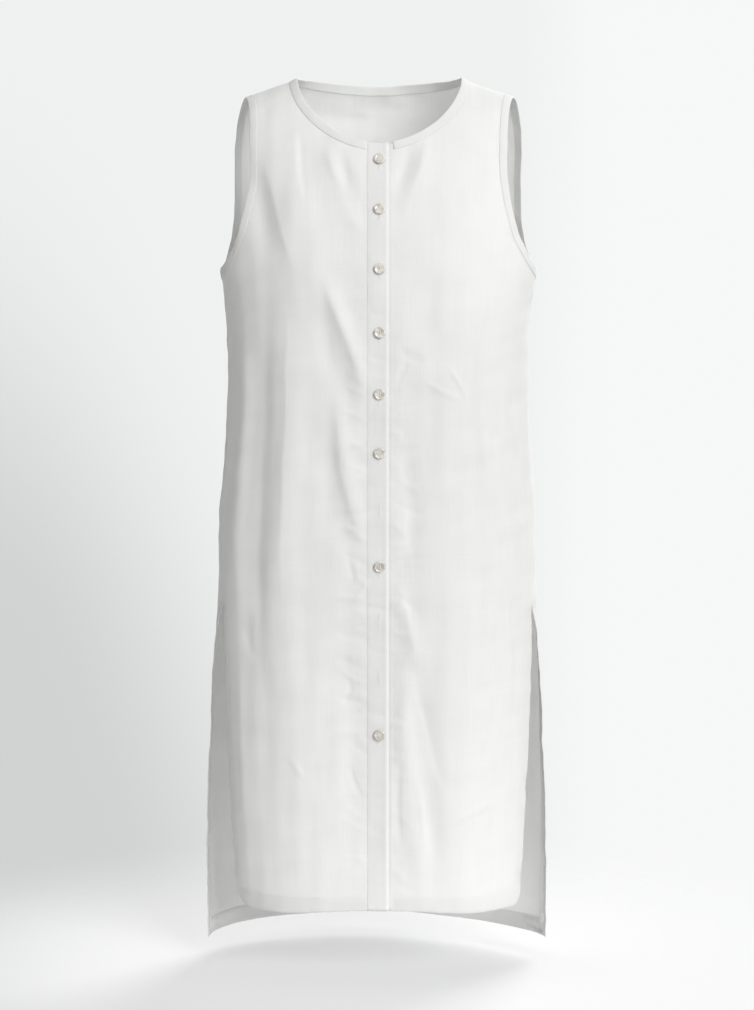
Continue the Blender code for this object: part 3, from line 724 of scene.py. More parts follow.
def spread(top, bottom, left, right, across, down, margin):
    """Places that fill a panel between its four edges; a side's own curve reaches in by the
    margins, one for its turn and one for its root."""
    s, v = across[None, :, None], down[:, None, None]
    margin = np.array(margin)
    top_line = top[0] + (top[-1] - top[0]) * across[:, None]
    bottom_line = bottom[0] + (bottom[-1] - bottom[0]) * across[:, None]
    left_line = left[:, None] - (1 - v) * top[0] - v * bottom[0]
    right_line = right[:, None] - (1 - v) * top[-1] - v * bottom[-1]
    return ((1 - v) * top_line + v * bottom_line
            + np.clip(1 - v / TOP_MARGIN, 0, 1) ** 2 * (top - top_line)
            + np.clip((v - 1 + BOTTOM_MARGIN) / BOTTOM_MARGIN, 0, 1) ** 2 * (bottom - bottom_line)
            + np.clip(1 - s / margin, 0, 1) ** 2 * left_line
            + np.clip((s - 1 + margin) / margin, 0, 1) ** 2 * right_line)


def steps_with_edges(count, near, far):
    """Shares from 0 to 1 in even steps, with a few close ones at the ends that are named."""
    close = np.array([0.08, 0.22, 0.5]) / count
    shares = np.linspace(0, 1, count + 1)
    return np.unique(np.concatenate(
        [shares, close if near else [], 1 - close if far else []]))


ARMHOLE_SHARES = steps_with_edges(62, True, False)
LOWER_STEPS = 205
BACK_NECK_STEPS = 84
BACK_SHOULDER_STEPS = 24
NECK_SHARE = 0.60
TOP_MARGIN = 0.60
BOTTOM_MARGIN = 0.60
BACK_MARGIN = (0.40, 1.0)
FRONT_MARGIN = (0.50, 1.0)
ROOT_SHARE = 0.8
CORNER_SHARE = math.sqrt(0.5)


def lower_drops(hem_drop):
    """Rows below the armhole, with one exactly where the vents open."""
    first = UNDERARM + 0.0008
    share = (VENT_TOP - first) / (hem_drop - first)
    upper = round(LOWER_STEPS * share)
    return np.concatenate([np.linspace(first, VENT_TOP, upper + 1),
                           np.linspace(VENT_TOP, hem_drop, LOWER_STEPS - upper + 1)[1:]])


def back_places():
    """Grid of places of the back, from the wearer's left across to the right."""
    drops = lower_drops(BACK_LENGTH)
    neck_shares = np.linspace(0, 1, BACK_NECK_STEPS + 1)
    shares = steps_with_edges(BACK_SHOULDER_STEPS, False, True)
    neck = neck_seam("back", 1, 0, BINDING_WIDTH - SEAM_UNDER, neck_shares)
    middle_root = neck[len(neck) // 2, 1]
    left, down = panel_sides("back", 1, ARMHOLE_SHARES, drops, middle_root)
    right, _ = panel_sides("back", -1, ARMHOLE_SHARES, drops, middle_root)
    shoulder, other = shoulder_line("back", 1, shares), shoulder_line("back", -1, shares)
    left[0], right[0] = shoulder[-1], other[-1]
    neck[0], neck[-1] = shoulder[0], other[0]
    top = np.concatenate([shoulder[:0:-1], neck, other[1:]])
    edge = (1 - NECK_SHARE) / 2
    across = np.concatenate([edge * (1 - shares[:0:-1]), edge + (1 - 2 * edge) * neck_shares,
                             1 - edge * (1 - shares[1:])])
    girth = np.interp(across, [0, 1], girth_of_turn(np.array([left[-1, 0], right[-1, 0]])))
    bottom = np.stack([turn_of_girth(girth), np.full(len(girth), math.sqrt(BACK_LENGTH))], -1)
    vent_row = len(ARMHOLE_SHARES) + int(np.argmin(np.abs(drops - VENT_TOP)))
    return spread(top, bottom, left, right, across, down, BACK_MARGIN), vent_row


def between(grid, row, column):
    """Values of a grid at places between its rows and columns, or just past its edges."""
    upper = np.clip(np.floor(row).astype(int), 0, grid.shape[0] - 2)
    before = np.clip(np.floor(column).astype(int), 0, grid.shape[1] - 2)
    r, c = (row - upper)[..., None], (column - before)[..., None]
    return ((grid[upper, before] * (1 - c) + grid[upper, before + 1] * c) * (1 - r)
            + (grid[upper + 1, before] * (1 - c) + grid[upper + 1, before + 1] * c) * r)


def columns_in(points, row, from_end, distance):
    """How many columns a distance reaches in from the end of a row."""
    line = points[row, ::-1] if from_end else points[row]
    lengths = lengths_along(line)
    if distance < 0:
        return distance / lengths[1]
    return float(np.interp(distance, lengths, np.arange(len(lengths))))


def hem_line(places, points, hem, distance):
    """Places beside the turned edges: down one vent, along the hem and up the other vent."""
    rows, columns = points.shape[0] - 1, points.shape[1] - 1
    up = distance / np.linalg.norm(points[-1] - points[-2], axis=-1).mean()
    at_row, at_column = [], []
    vent = np.arange(hem["vent_row"], rows + 1)
    lowered = vent - up * (vent - hem["vent_row"]) / (rows - hem["vent_row"])
    starts, ends = 0.0, 0.0
    widths = [columns_in(points, row, True, distance) for row in vent]
    if hem["both"]:
        starts = [columns_in(points, row, False, distance) for row in vent]
        at_row.append(lowered[:-1])
        at_column.append(starts[:-1])
        starts = starts[-1]
    ends = widths[-1]
    base = np.arange(columns + 1)
    at_row.append(np.full(columns + 1, rows - up))
    at_column.append(starts + base * (columns - starts - ends) / columns)
    at_row.append(lowered[-2::-1])
    at_column.append(columns - np.array(widths[-2::-1]))
    return between(places, np.concatenate(at_row), np.concatenate(at_column))


def hem_section(width):
    """Distance in from the folded edge and level of the cloth turned under, step by step."""
    turned = [(-0.00030, -0.00020), (-0.00045, -0.00055), (-0.00040, -0.00095),
              (0.00000, -0.00130), (0.00100, -0.00145)]
    flat = [(width * share, -0.00140) for share in (0.25, 0.5, 0.75, 0.95)]
    back = [(width - 0.0002, -0.00135), (width + 0.0002, -0.00105), (width, -0.00070)]
    return turned + flat + back


def new_piece(name, points, faces, uv, material):
    """Mesh object with flat coordinates of the cloth in metres."""
    data = bpy.data.meshes.new(name)
    data.from_pydata(points, [], faces)
    layer_uv = data.uv_layers.new(name="cloth")
    corners = np.zeros(len(data.loops), np.int32)
    data.loops.foreach_get("vertex_index", corners)
    layer_uv.data.foreach_set("uv", np.asarray(uv)[corners].astype(np.float32).ravel())
    data.materials.append(material)
    shape = bmesh.new()
    shape.from_mesh(data)
    bmesh.ops.recalc_face_normals(shape, faces=shape.faces[:])
    shape.to_mesh(data)
    shape.free()
    data.shade_smooth()
    return placed(name, data)


def cloth_piece(name, places, sheet, level, thick, material, hem=None):
    """Closed shell of cloth on a grid of places, with its vents and hem turned under."""
    turn, root = places[..., 0], places[..., 1]
    out = normals(cloth, turn, root, sheet)
    face = cloth(turn, root, sheet) + out * level[..., None]
    under = face - out * thick
    rows, columns = turn.shape
    count = rows * columns
    number = np.arange(count).reshape(rows, columns)
    points = [face.reshape(-1, 3), under.reshape(-1, 3)]
    flat = np.stack([girth_of_turn(turn), -root ** 2], -1).reshape(-1, 2)
    uv = [flat, flat]
    faces = []
    quads = np.stack([number[:-1, :-1], number[1:, :-1], number[1:, 1:], number[:-1, 1:]], -1)
    faces += quads.reshape(-1, 4).tolist() + (quads[..., ::-1].reshape(-1, 4) + count).tolist()
    loop = np.concatenate([number[0, :-1], number[:-1, -1], number[-1, :0:-1], number[:0:-1, 0]])
    middle = (face + under).reshape(-1, 3)[loop] / 2
    beyond = face.reshape(-1, 3)[loop] - between(
        face, *[np.clip(axis, 1, size - 2).astype(float) for axis, size in
                zip(np.unravel_index(loop, (rows, columns)), (rows, columns))])
    beyond /= np.linalg.norm(beyond, axis=1, keepdims=True) + 1e-9
    points.append(middle + beyond * thick * EDGE_BULGE)
    uv.append(flat[loop])
    plain = [[int(at), 2 * count + k, int(at) + count] for k, at in enumerate(loop)]
    turned = {}
    if hem:
        line = np.concatenate(
            ([number[hem["vent_row"]:-1, 0]] if hem["both"] else [])
            + [number[-1], number[hem["vent_row"]:-1, -1][::-1]])
        chain = {int(at): [int(at)] for at in line}
        total = 2 * count + len(loop)
        for distance, depth in hem_section(hem["width"]):
            spots = hem_line(places, face, hem, distance)
            at_turn, at_root = spots[:, 0], spots[:, 1]
            points.append(cloth(at_turn, at_root, sheet)
                          + normals(cloth, at_turn, at_root, sheet) * depth)
            uv.append(np.stack([girth_of_turn(at_turn), -at_root ** 2], -1))
            for k, at in enumerate(line):
                chain[int(at)].append(total + k)
            total += len(line)
        turned = {at: ids + [at + count] for at, ids in chain.items()}
    for k, section_ids in enumerate(plain):
        following = plain[(k + 1) % len(plain)]
        here, there = section_ids[0], following[0]
        if here in turned and there in turned:
            section_ids, following = turned[here], turned[there]
        faces += [(section_ids[i], following[i], following[i + 1], section_ids[i + 1])
                  for i in range(len(section_ids) - 1)]
        if (here in turned) != (there in turned):
            end, flat_end = (turned[here], plain[k]) if here in turned else (
                turned[there], following)
            faces.append(end + flat_end[1:-1][::-1])
    return new_piece(name, np.concatenate(points).tolist(), faces, np.concatenate(uv), material)


def seam_level(places, sheet, start, end, top):
    """Level of a panel's outer face, sunk along the edges where it is sewn to its neighbour."""
    points = body_form(places[..., 0], places[..., 1], sheet)
    level = np.zeros(points.shape[:2])
    for wanted, border in ((start, points[:, :1]), (end, points[:, -1:]), (top, points[:1])):
        if wanted is not False:
            away = np.linalg.norm(points - border, axis=-1)
            sink = SEAM_SINK * np.exp(-(away / SEAM_REACH) ** 2)
            if wanted is not True:
                sink = sink * wanted[:, None]
            level = level - sink
    return level


def group(name, inputs, outputs):
    """Empty shader node group with named sockets."""
    tree = bpy.data.node_groups.new(name, "ShaderNodeTree")
    for socket, kind, value in inputs:
        made = tree.interface.new_socket(socket, in_out="INPUT", socket_type=kind)
        if value is not None:
            made.default_value = value
    for socket, kind in outputs:
        tree.interface.new_socket(socket, in_out="OUTPUT", socket_type=kind)
    return tree, tree.nodes.new("NodeGroupInput"), tree.nodes.new("NodeGroupOutput")


def stretched_noise(tree, vector, scale, detail):
    """Noise with its own scale along and across the threads."""
    sized = add_node(tree, "ShaderNodeVectorMath", {0: vector, 1: scale}, operation="MULTIPLY")
    return add_node(tree, "ShaderNodeTexNoise",
                    {"Scale": 1, "Detail": detail, "Vector": sized.outputs[0]}).outputs["Fac"]


WARP_NOISE = ((620, 16, 1), 2)
WEFT_NOISE = ((14, 560, 1), 2)
CLOUD_NOISE = ((38, 30, 1), 3)
WARP_SHARE = 0.65
WEFT_SHARE = 0.35
SLUB_TONE = 1.6
CROSSING_HEIGHT = 0.16
CROSSING_SHINE = 0.06
CLOTH_ROUGHNESS = 0.92


def plain_weave():
    """Over and under threads with thick places in the yarn, for flat cloth coordinates."""
    tree, entry, exit_node = group(
        "plain_weave",
        [("Place", "NodeSocketVector", None), ("Threads", "NodeSocketFloat", 2100.0),
         ("Slubs", "NodeSocketFloat", 1.0), ("Tone Low", "NodeSocketColor", (0.8, 0.8, 0.8, 1)),
         ("Tone High", "NodeSocketColor", (0.9, 0.9, 0.9, 1))],
        [("Height", "NodeSocketFloat"), ("Colour", "NodeSocketColor"),
         ("Roughness", "NodeSocketFloat")])
    vector = entry.outputs["Place"]
    split = add_node(tree, "ShaderNodeSeparateXYZ", {0: vector}).outputs
    threads = maths(tree, "MULTIPLY", entry.outputs["Threads"], math.pi)
    waves = [maths(tree, "SINE", maths(tree, "MULTIPLY", split[axis], threads)) for axis in "XY"]
    crossing = maths(tree, "MULTIPLY", *waves)
    warp, weft, cloudy = (stretched_noise(tree, vector, *kind)
                          for kind in (WARP_NOISE, WEFT_NOISE, CLOUD_NOISE))
    yarn = maths(tree, "ADD", maths(tree, "MULTIPLY", warp, WARP_SHARE),
                 maths(tree, "MULTIPLY", weft, WEFT_SHARE))
    slub = maths(tree, "MULTIPLY", maths(tree, "SUBTRACT", yarn, 0.5), entry.outputs["Slubs"])
    clouds = maths(tree, "ADD", maths(tree, "MULTIPLY", cloudy, 0.5), 0.25)
    tone = maths(tree, "ADD", maths(tree, "MULTIPLY", slub, SLUB_TONE), clouds)
    clamped = add_node(tree, "ShaderNodeClamp", {"Value": tone}).outputs[0]
    feed(tree, exit_node, {
        "Height": maths(tree, "ADD", maths(tree, "MULTIPLY", crossing, CROSSING_HEIGHT), slub),
        "Colour": mixed_tone(tree, clamped, entry.outputs["Tone Low"], entry.outputs["Tone High"]),
        "Roughness": maths(tree, "SUBTRACT", CLOTH_ROUGHNESS,
                           maths(tree, "MULTIPLY", crossing, CROSSING_SHINE))})
    return tree


WEAVE = plain_weave()
CLOTH_LOW = (0.850, 0.853, 0.849, 1)
CLOTH_HIGH = (0.930, 0.933, 0.929, 1)
CLOTH_THROUGH = (0.92, 0.92, 0.91, 1)
CLOTH_FINISH = {"Specular IOR Level": 0.25, "Sheen Weight": 0.12, "Sheen Roughness": 0.5}
RELIEF_STRENGTH = 0.6


def woven(name, low, high, through_share, turned=0.0, slubs=1.0, relief=0.00016):
    """White woven cloth that lets a little light through; turned is the angle of its threads."""
    material, tree, shader = new_material(name)
    flat = add_node(tree, "ShaderNodeUVMap", {}, uv_map="cloth")
    rotate = add_node(tree, "ShaderNodeMapping",
                      {"Rotation": (0, 0, turned), "Vector": flat.outputs[0]})
    weave = add_node(tree, "ShaderNodeGroup",
                     {"Slubs": slubs, "Tone Low": low, "Tone High": high,
                      "Place": rotate.outputs[0]}, node_tree=WEAVE).outputs
    bump = add_node(tree, "ShaderNodeBump", {"Strength": RELIEF_STRENGTH, "Distance": relief,
                                             "Height": weave["Height"]}).outputs[0]
    feed(tree, shader, {"Base Color": weave["Colour"], "Roughness": weave["Roughness"],
                        "Normal": bump, **CLOTH_FINISH})
    veil = add_node(tree, "ShaderNodeBsdfTranslucent", {"Color": CLOTH_THROUGH, "Normal": bump})
    whole = add_node(tree, "ShaderNodeMixShader",
                     {"Fac": through_share, 1: shader.outputs[0], 2: veil.outputs[0]})
    feed(tree, tree.nodes["Material Output"], {"Surface": whole.outputs[0]})
    return material


def thread_tree():
    """Stitches along a path: its edges become a row of threads, along it or across it."""
    tree = bpy.data.node_groups.new("sewn_line", "GeometryNodeTree")
    face = tree.interface
    face.new_socket("Path", in_out="INPUT", socket_type="NodeSocketGeometry")
    for name in ("Pitch", "Stitch", "Thread", "Across"):
        face.new_socket(name, in_out="INPUT", socket_type="NodeSocketFloat")
    face.new_socket("Material", in_out="INPUT", socket_type="NodeSocketMaterial")
    face.new_socket("Stitches", in_out="OUTPUT", socket_type="NodeSocketGeometry")
    entry = tree.nodes.new("NodeGroupInput").outputs

    def step(kind, output, sockets, **settings):
        """Output of a new node."""
        return add_node(tree, kind, sockets, **settings).outputs[output]

    curve = step("GeometryNodeMeshToCurve", "Curve", {"Mesh": entry["Path"]})
    even = step("GeometryNodeResampleCurve", "Curve",
                {"Curve": curve, "Length": entry["Pitch"]}, mode="LENGTH")
    tangent = step("GeometryNodeInputTangent", 0, {})
    outward = step("GeometryNodeInputNamedAttribute", "Attribute", {"Name": "out"},
                   data_type="FLOAT_VECTOR")
    sideways = step("ShaderNodeVectorMath", 0, {0: tangent, 1: outward},
                    operation="CROSS_PRODUCT")
    lie = step("ShaderNodeMix", 1, {"Factor": entry["Across"], 4: tangent, 5: sideways},
               data_type="VECTOR")
    align = step("FunctionNodeAlignRotationToVector", "Rotation", {"Vector": lie}, axis="Z")
    bead = step("GeometryNodeMeshUVSphere", "Mesh", {"Segments": 6, "Rings": 4, "Radius": 0.5})
    size = step("ShaderNodeCombineXYZ", 0,
                {"X": entry["Thread"], "Y": entry["Thread"], "Z": entry["Stitch"]})
    shaped = step("GeometryNodeTransform", "Geometry", {"Geometry": bead, "Scale": size})
    spots = step("GeometryNodeInstanceOnPoints", "Instances",
                 {"Points": even, "Instance": shaped, "Rotation": align})
    real = step("GeometryNodeRealizeInstances", "Geometry", {"Geometry": spots})
    soft = step("GeometryNodeSetShadeSmooth", "Geometry", {"Geometry": real})
    dressed = step("GeometryNodeSetMaterial", "Geometry",
                   {"Geometry": soft, "Material": entry["Material"]})
    add_node(tree, "NodeGroupOutput", {"Stitches": dressed})
    return tree


THREADS = thread_tree()


THREAD_LOW = (0.80, 0.80, 0.79, 1)
THREAD_HIGH = (0.90, 0.90, 0.89, 1)
THREAD_TWIST = ((2600, 2600, 5200), 1)
THREAD_FINISH = {"Roughness": 0.55, "Sheen Weight": 0.2}


def thread_material():
    """Smooth white sewing thread with a light twist."""
    material, tree, shader = new_material("thread")
    place = add_node(tree, "ShaderNodeTexCoord", {}).outputs["Object"]
    twist = stretched_noise(tree, place, *THREAD_TWIST)
    feed(tree, shader, {"Base Color": mixed_tone(tree, twist, THREAD_LOW, THREAD_HIGH),
                        **THREAD_FINISH})
    return material


THREAD = thread_material()


def sewn(name, paths, pitch=0.0030, stitch=0.0023, thread=0.00034, across=0.0, ring=False):
    """Rows of stitches on paths, each given as points and outward directions."""
    points, outs, edges = [], [], []
    for line, out in paths:
        first = len(points)
        points += np.asarray(line).tolist()
        outs += np.asarray(out).tolist()
        edges += [(first + k, first + k + 1) for k in range(len(line) - 1)]
        if ring:
            edges.append((len(points) - 1, first))
    data = bpy.data.meshes.new(name + "_path")
    data.from_pydata(points, edges, [])
    data.attributes.new("out", "FLOAT_VECTOR", "POINT").data.foreach_set(
        "vector", np.asarray(outs, np.float32).ravel())
    guide = placed(name + "_path", data)
    rows = guide.modifiers.new("Stitches", "NODES")
    rows.node_group = THREADS
    wanted = {"Pitch": pitch, "Stitch": stitch, "Thread": thread, "Across": across,
              "Material": THREAD}
    for item in THREADS.interface.items_tree:
        if item.in_out == "INPUT" and item.name in wanted:
            rows[item.identifier] = wanted[item.name]
    graph = bpy.context.evaluated_depsgraph_get()
    made = bpy.data.meshes.new_from_object(guide.evaluated_get(graph))
    made.name = name
    bpy.data.objects.remove(guide, do_unlink=True)
    return placed(name, made)


def on_cloth(places, sheet, level):
    """Points and outward directions of a line of places at a level of the cloth."""
    turn, root = places[..., 0], places[..., 1]
    out = normals(cloth, turn, root, sheet)
    return cloth(turn, root, sheet) + out * level, out


def rides(piece):
    """The piece moves with the whole shirt."""
    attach(piece, "root")
    return piece


HEM_WIDTH = 0.0200
HEM_STITCH_IN = 0.0016
HEM_STITCH_LEVELS = (0.00006, -0.00150)
PANEL_THROUGH = 0.34
panel_cloth = woven("panel_cloth", CLOTH_LOW, CLOTH_HIGH, PANEL_THROUGH)


def hemmed_panel(name, sheet, grid, vent_row, both):
    """Panel in place of its solid, and the stitches of its vents and hem."""
    hem = {"vent_row": vent_row, "both": both, "width": HEM_WIDTH}
    side_seam = (np.arange(len(grid)) <= vent_row).astype(float)
    level = seam_level(grid, sheet, side_seam if both else True, side_seam, True)
    piece = cloth_piece(name + "_cloth", grid, sheet, level, CLOTH, panel_cloth, hem)
    face = cloth(grid[..., 0], grid[..., 1], sheet)
    line = hem_line(grid, face, hem, HEM_WIDTH - HEM_STITCH_IN)
    stitches = sewn(name + "_hem_stitches",
                    [on_cloth(line, sheet, height) for height in HEM_STITCH_LEVELS])
    rides(piece)
    rides(stitches)
    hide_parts(name)
    return piece, stitches


back, back_stitches = hemmed_panel("back", "back", *back_places(), True)

# Fronts
# Two pieces of the same cloth from the shoulders to a shorter hem with rounded corners, sewn to
# the back at the shoulders and sides and to the button front along the middle.
PLACKET_SEAM_UPPER = -0.0146
PLACKET_SEAM_UNDER = 0.0164
CORNER_RIGHT = 0.038
CORNER_LEFT = 0.018
FRONT_NECK_STEPS = 66
FRONT_SHOULDER_STEPS = 30


def front_roots(down):
    """Roots of the rows along the button front."""
    first = math.sqrt(drop_at(0, -NECK_DEPTH_FRONT - BINDING_WIDTH + SEAM_UNDER))
    return first + (math.sqrt(FRONT_LENGTH) - first) * down


def front_places(side, seam, corner):
    """Grid of places of one front, from its placket seam out to the side."""
    low_end = FRONT_LENGTH + FRONT_DIP
    drops = lower_drops(low_end - (1 - CORNER_SHARE) * corner)
    edge, down = panel_sides("front", side, ARMHOLE_SHARES, drops, front_roots(0))
    start = abs(seam) - SEAM_UNDER
    neck_shares = steps_with_edges(FRONT_NECK_STEPS, True, False)
    shares = steps_with_edges(FRONT_SHOULDER_STEPS, False, True)
    neck = neck_seam("front", side, start, BINDING_WIDTH - SEAM_UNDER, neck_shares)
    shoulder = shoulder_line("front", side, shares)
    edge[0] = shoulder[-1]
    neck[-1] = shoulder[0]
    top = np.concatenate([neck, shoulder[1:]])
    across = np.concatenate([NECK_SHARE * neck_shares, NECK_SHARE + (1 - NECK_SHARE) * shares[1:]])
    roots = front_roots(down)
    inner = np.stack([turn_at(side * start, roots), roots], -1)
    inner[0] = neck[0]
    past = np.clip((edge[:, 1] ** 2 - (low_end - corner)) / corner, 0, CORNER_SHARE)
    width = abs(girth_of_turn(edge[-1, 0]))
    rounded = girth_of_turn(edge[:, 0]) - side * corner * (1 - np.sqrt(1 - past ** 2))
    edge[:, 0] = turn_of_girth(rounded)
    girth = np.interp(across, [0, 1], girth_of_turn(np.array([inner[-1, 0], edge[-1, 0]])))
    past = np.clip((np.abs(girth) - (width - corner)) / corner, 0, CORNER_SHARE)
    low = (FRONT_LENGTH + FRONT_DIP * smooth((np.abs(girth) - DIP_START) / DIP_RUN)
           - corner * (1 - np.sqrt(1 - past ** 2)))
    bottom = np.stack([turn_of_girth(girth), np.sqrt(low)], -1)
    edge[-1] = bottom[-1]
    inner[-1] = bottom[0]
    vent_row = len(ARMHOLE_SHARES) + int(np.argmin(np.abs(drops - VENT_TOP)))
    return spread(top, bottom, inner, edge, across, down, FRONT_MARGIN), vent_row


for side, seam, corner, name in ((-1, PLACKET_SEAM_UPPER, CORNER_RIGHT, "front_right"),
                                 (1, PLACKET_SEAM_UNDER, CORNER_LEFT, "front_left")):
    front, stitches = hemmed_panel(name, "front", *front_places(side, seam, corner), False)

# Button front
# Two straight bands of doubled cloth. The wearer's right band laps over the left one, its free
# edge a fold, and carries upright buttonholes; both are edge-stitched beside their seams.
PLACKET_EDGE_UPPER = 0.0110
PLACKET_EDGE_UNDER = -0.0106
PLACKET_RAISE = 0.0011
PLACKET_SINK = 0.0007
PLACKET_LAYER = 0.00042
PLACKET_APART = 0.00013
UNDER_NOTCH = 0.0020
PLACKET_ROWS = 330
PLACKET_STEPS = 14
# The button front's cloth tones are a little darker than the panel cloth's: painted shade of the
# doubled bands.
PLACKET_SHADED_LOW = (0.830, 0.833, 0.828, 1)
PLACKET_SHADED_HIGH = (0.895, 0.898, 0.893, 1)
PLACKET_THROUGH = 0.22
UPPER_LEVELS = (
    (PLACKET_SEAM_UPPER, 0.00020), (-0.0135, 0.00045), (-0.0120, 0.00060),
    (PLACKET_EDGE_UNDER, 0.00085), (0, PLACKET_RAISE), (0.0050, 0.00140), (0.0079, 0.00205),
    (0.0096, 0.00150), (PLACKET_EDGE_UPPER, 0.00070))
UNDER_LEVELS = ((PLACKET_EDGE_UNDER, -PLACKET_SINK), (PLACKET_EDGE_UPPER, -0.00045),
                (0.0145, 0.00015), (PLACKET_SEAM_UNDER, 0.00005))
BEND_SHARE = np.array([0.10, 0.36, 0.64, 0.90])
BEND_OUT = np.array([0.00010, 0.00022, 0.00022, 0.00010])
BEND_IN = np.array([0.00035, 0.00026, 0.00026, 0.00035])
BEND_CLEAR = 0.0004
BUTTON_HEIGHTS = (0.1053, 0.1665, 0.2378, 0.3142, 0.3870, 0.4580, 0.5946, 0.7991)
EMPTY_HOLES = (0.5265, 0.6600, 0.7290)
HOLE_LENGTH = 0.0160
HOLE_WIDTH = 0.0012
HOLE_BELOW = 0.0050


def swept(name, sections, uv, material, ring):
    """Closed strip of folded cloth from rows of cross-sections, the outside of the cloth first
    and then its inside in the opposite order."""
    rows, wide = sections.shape[:2]
    faces = []
    for row in range(rows if ring else rows - 1):
        low = (row + 1) % rows
        faces += [(row * wide + k, low * wide + k, low * wide + (k + 1) % wide,
                   row * wide + (k + 1) % wide) for k in range(wide)]
    if not ring:
        for first in (0, (rows - 1) * wide):
            faces += [(first + k, first + k + 1, first + wide - 2 - k, first + wide - 1 - k)
                      for k in range(wide // 2 - 1)]
    return new_piece(name, sections.reshape(-1, 3).tolist(), faces, uv.reshape(-1, 2), material)


def band(name, x, level, fold, notch, material):
    """Band of doubled cloth with its fold at the last x, and its top on the neck edge."""
    toward = 1 if fold > 0 else -1
    bend = x[-1] + toward * BEND_OUT
    bend_in = x[-1] - toward * BEND_IN
    thick = 2 * PLACKET_LAYER + PLACKET_APART
    bend_level = level[-1] - thick * BEND_SHARE
    bend_in_level = level[-1] - np.linspace(PLACKET_LAYER, PLACKET_LAYER + PLACKET_APART, 4)
    outside_x = np.concatenate([x, bend, x[::-1]])
    outside_level = np.concatenate([level, bend_level, level[::-1] - thick])
    clear = x[-1:] - toward * BEND_CLEAR
    inside_x = np.concatenate([x[:-1], clear, bend_in, clear, x[-2::-1]])
    inside_level = np.concatenate([level - PLACKET_LAYER, bend_in_level,
                                   level[::-1] - PLACKET_LAYER - PLACKET_APART])
    across = np.concatenate([outside_x, inside_x[::-1]])
    heights = np.concatenate([outside_level, inside_level[::-1]])
    down = np.linspace(0, 1, PLACKET_ROWS)[:, None]
    top = np.sqrt(drop_at(across, neck_edge_height(across) - notch))
    roots = top + (math.sqrt(FRONT_LENGTH) - top) * down
    turn = turn_at(across[None], roots)
    out = normals(cloth, turn, roots, "front")
    points = cloth(turn, roots, "front") + out * heights[None, :, None]
    width = np.cumsum(np.concatenate([[0], np.hypot(np.diff(across), np.diff(heights))]))
    uv = np.stack([np.broadcast_to(width, turn.shape), -roots ** 2], -1)
    return swept(name, points, uv, material, False)


def band_steps(seam, edge, levels):
    """Distances across a band from its seam to its fold, and their levels."""
    x = seam + (edge - seam) * steps_with_edges(PLACKET_STEPS, True, True)
    return x, np.interp(x, *zip(*levels))


# Cloth of the button front, darkened with painted shade
placket_cloth = woven("placket_cloth", PLACKET_SHADED_LOW, PLACKET_SHADED_HIGH, PLACKET_THROUGH)
upper_x, upper_level = band_steps(PLACKET_SEAM_UPPER, PLACKET_EDGE_UPPER, UPPER_LEVELS)
under_x, under_level = band_steps(PLACKET_SEAM_UNDER, PLACKET_EDGE_UNDER, UNDER_LEVELS)
upper = band("placket_upper_cloth", upper_x, upper_level, 1, 0, placket_cloth)
under = band("placket_under_cloth", under_x, under_level, -1, UNDER_NOTCH, placket_cloth)


def band_line(x, level, first=0.0, last=1.0):
    """Points and directions of an upright line on a band."""
    top = math.sqrt(drop_at(x, neck_edge_height(x)) + 0.001 + first)
    roots = np.linspace(top, math.sqrt(FRONT_LENGTH * last - 0.001), 360)
    return on_cloth(np.stack([turn_at(x, roots), roots], -1), "front", level)


placket_stitches = sewn("placket_stitches", [
    band_line(PLACKET_SEAM_UPPER + 0.0016, 0.00052),
    band_line(PLACKET_EDGE_UPPER - 0.0020, PLACKET_RAISE + 0.00006),
    band_line(PLACKET_SEAM_UNDER - 0.0016, 0.00016)])


def hole_loop(height, length):
    """Points and directions round a buttonhole."""
    drop = drop_at(0, -height)
    angle = np.linspace(0, 2 * math.pi, 64, endpoint=False)
    x = HOLE_WIDTH / 2 * np.clip(np.cos(angle) * 1.6, -1, 1) + np.copysign(0.0004, np.cos(angle))
    roots = np.sqrt(drop - length / 2 * np.sin(angle))
    return on_cloth(np.stack([turn_at(x, roots), roots], -1), "front", PLACKET_RAISE + 0.0001)


hole_heights = [height + HOLE_BELOW for height in BUTTON_HEIGHTS] + list(EMPTY_HOLES)
buttonholes = sewn("buttonholes", [hole_loop(height, HOLE_LENGTH) for height in hole_heights],
                   pitch=0.00036, stitch=0.0017, thread=0.00036, across=1.0, ring=True)
for piece in (upper, under, placket_stitches, buttonholes):
    rides(piece)
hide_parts("placket_upper")
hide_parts("placket_under")

# Bindings
# Bias strips of the same cloth folded over the neck edge and round both armholes, and stitched
# down along their inner edge.
BINDING_PROUD = 0.0004
BINDING_KICK = 0.0016
BACK_BINDING_KICK = 0.0050
BINDING_STEPS = 130
BINDING_CROWN = 0.00022
BINDING_LAYER = 0.00042
BINDING_LOW = (0.860, 0.863, 0.858, 1)
BINDING_HIGH = (0.930, 0.933, 0.928, 1)
BINDING_THROUGH = 0.30
ACROSS = np.array([1.0, 0.96, 0.90, 0.82, 0.70, 0.52, 0.34, 0.18, 0.08, 0.03])
CROWN = BINDING_CROWN * (1 - (2 * ACROSS - 1) ** 4) - 0.00012 * np.exp(
    -((ACROSS - 0.86) / 0.05) ** 2)
WRAP = BINDING_PROUD + CROWN + 0.00104
ROUND_SHARE = np.array([-0.012, -0.040, -0.040, -0.012])
ROUND_INSIDE = np.array([0.02, 0.012, 0.012, 0.02])
STITCH_SHARE = 2
MIDDLE_STEP = 5
BINDING_PUCKER = 0.00012
binding_cloth = woven("binding_cloth", BINDING_LOW, BINDING_HIGH, BINDING_THROUGH,
                      turned=math.radians(45), slubs=0.7)


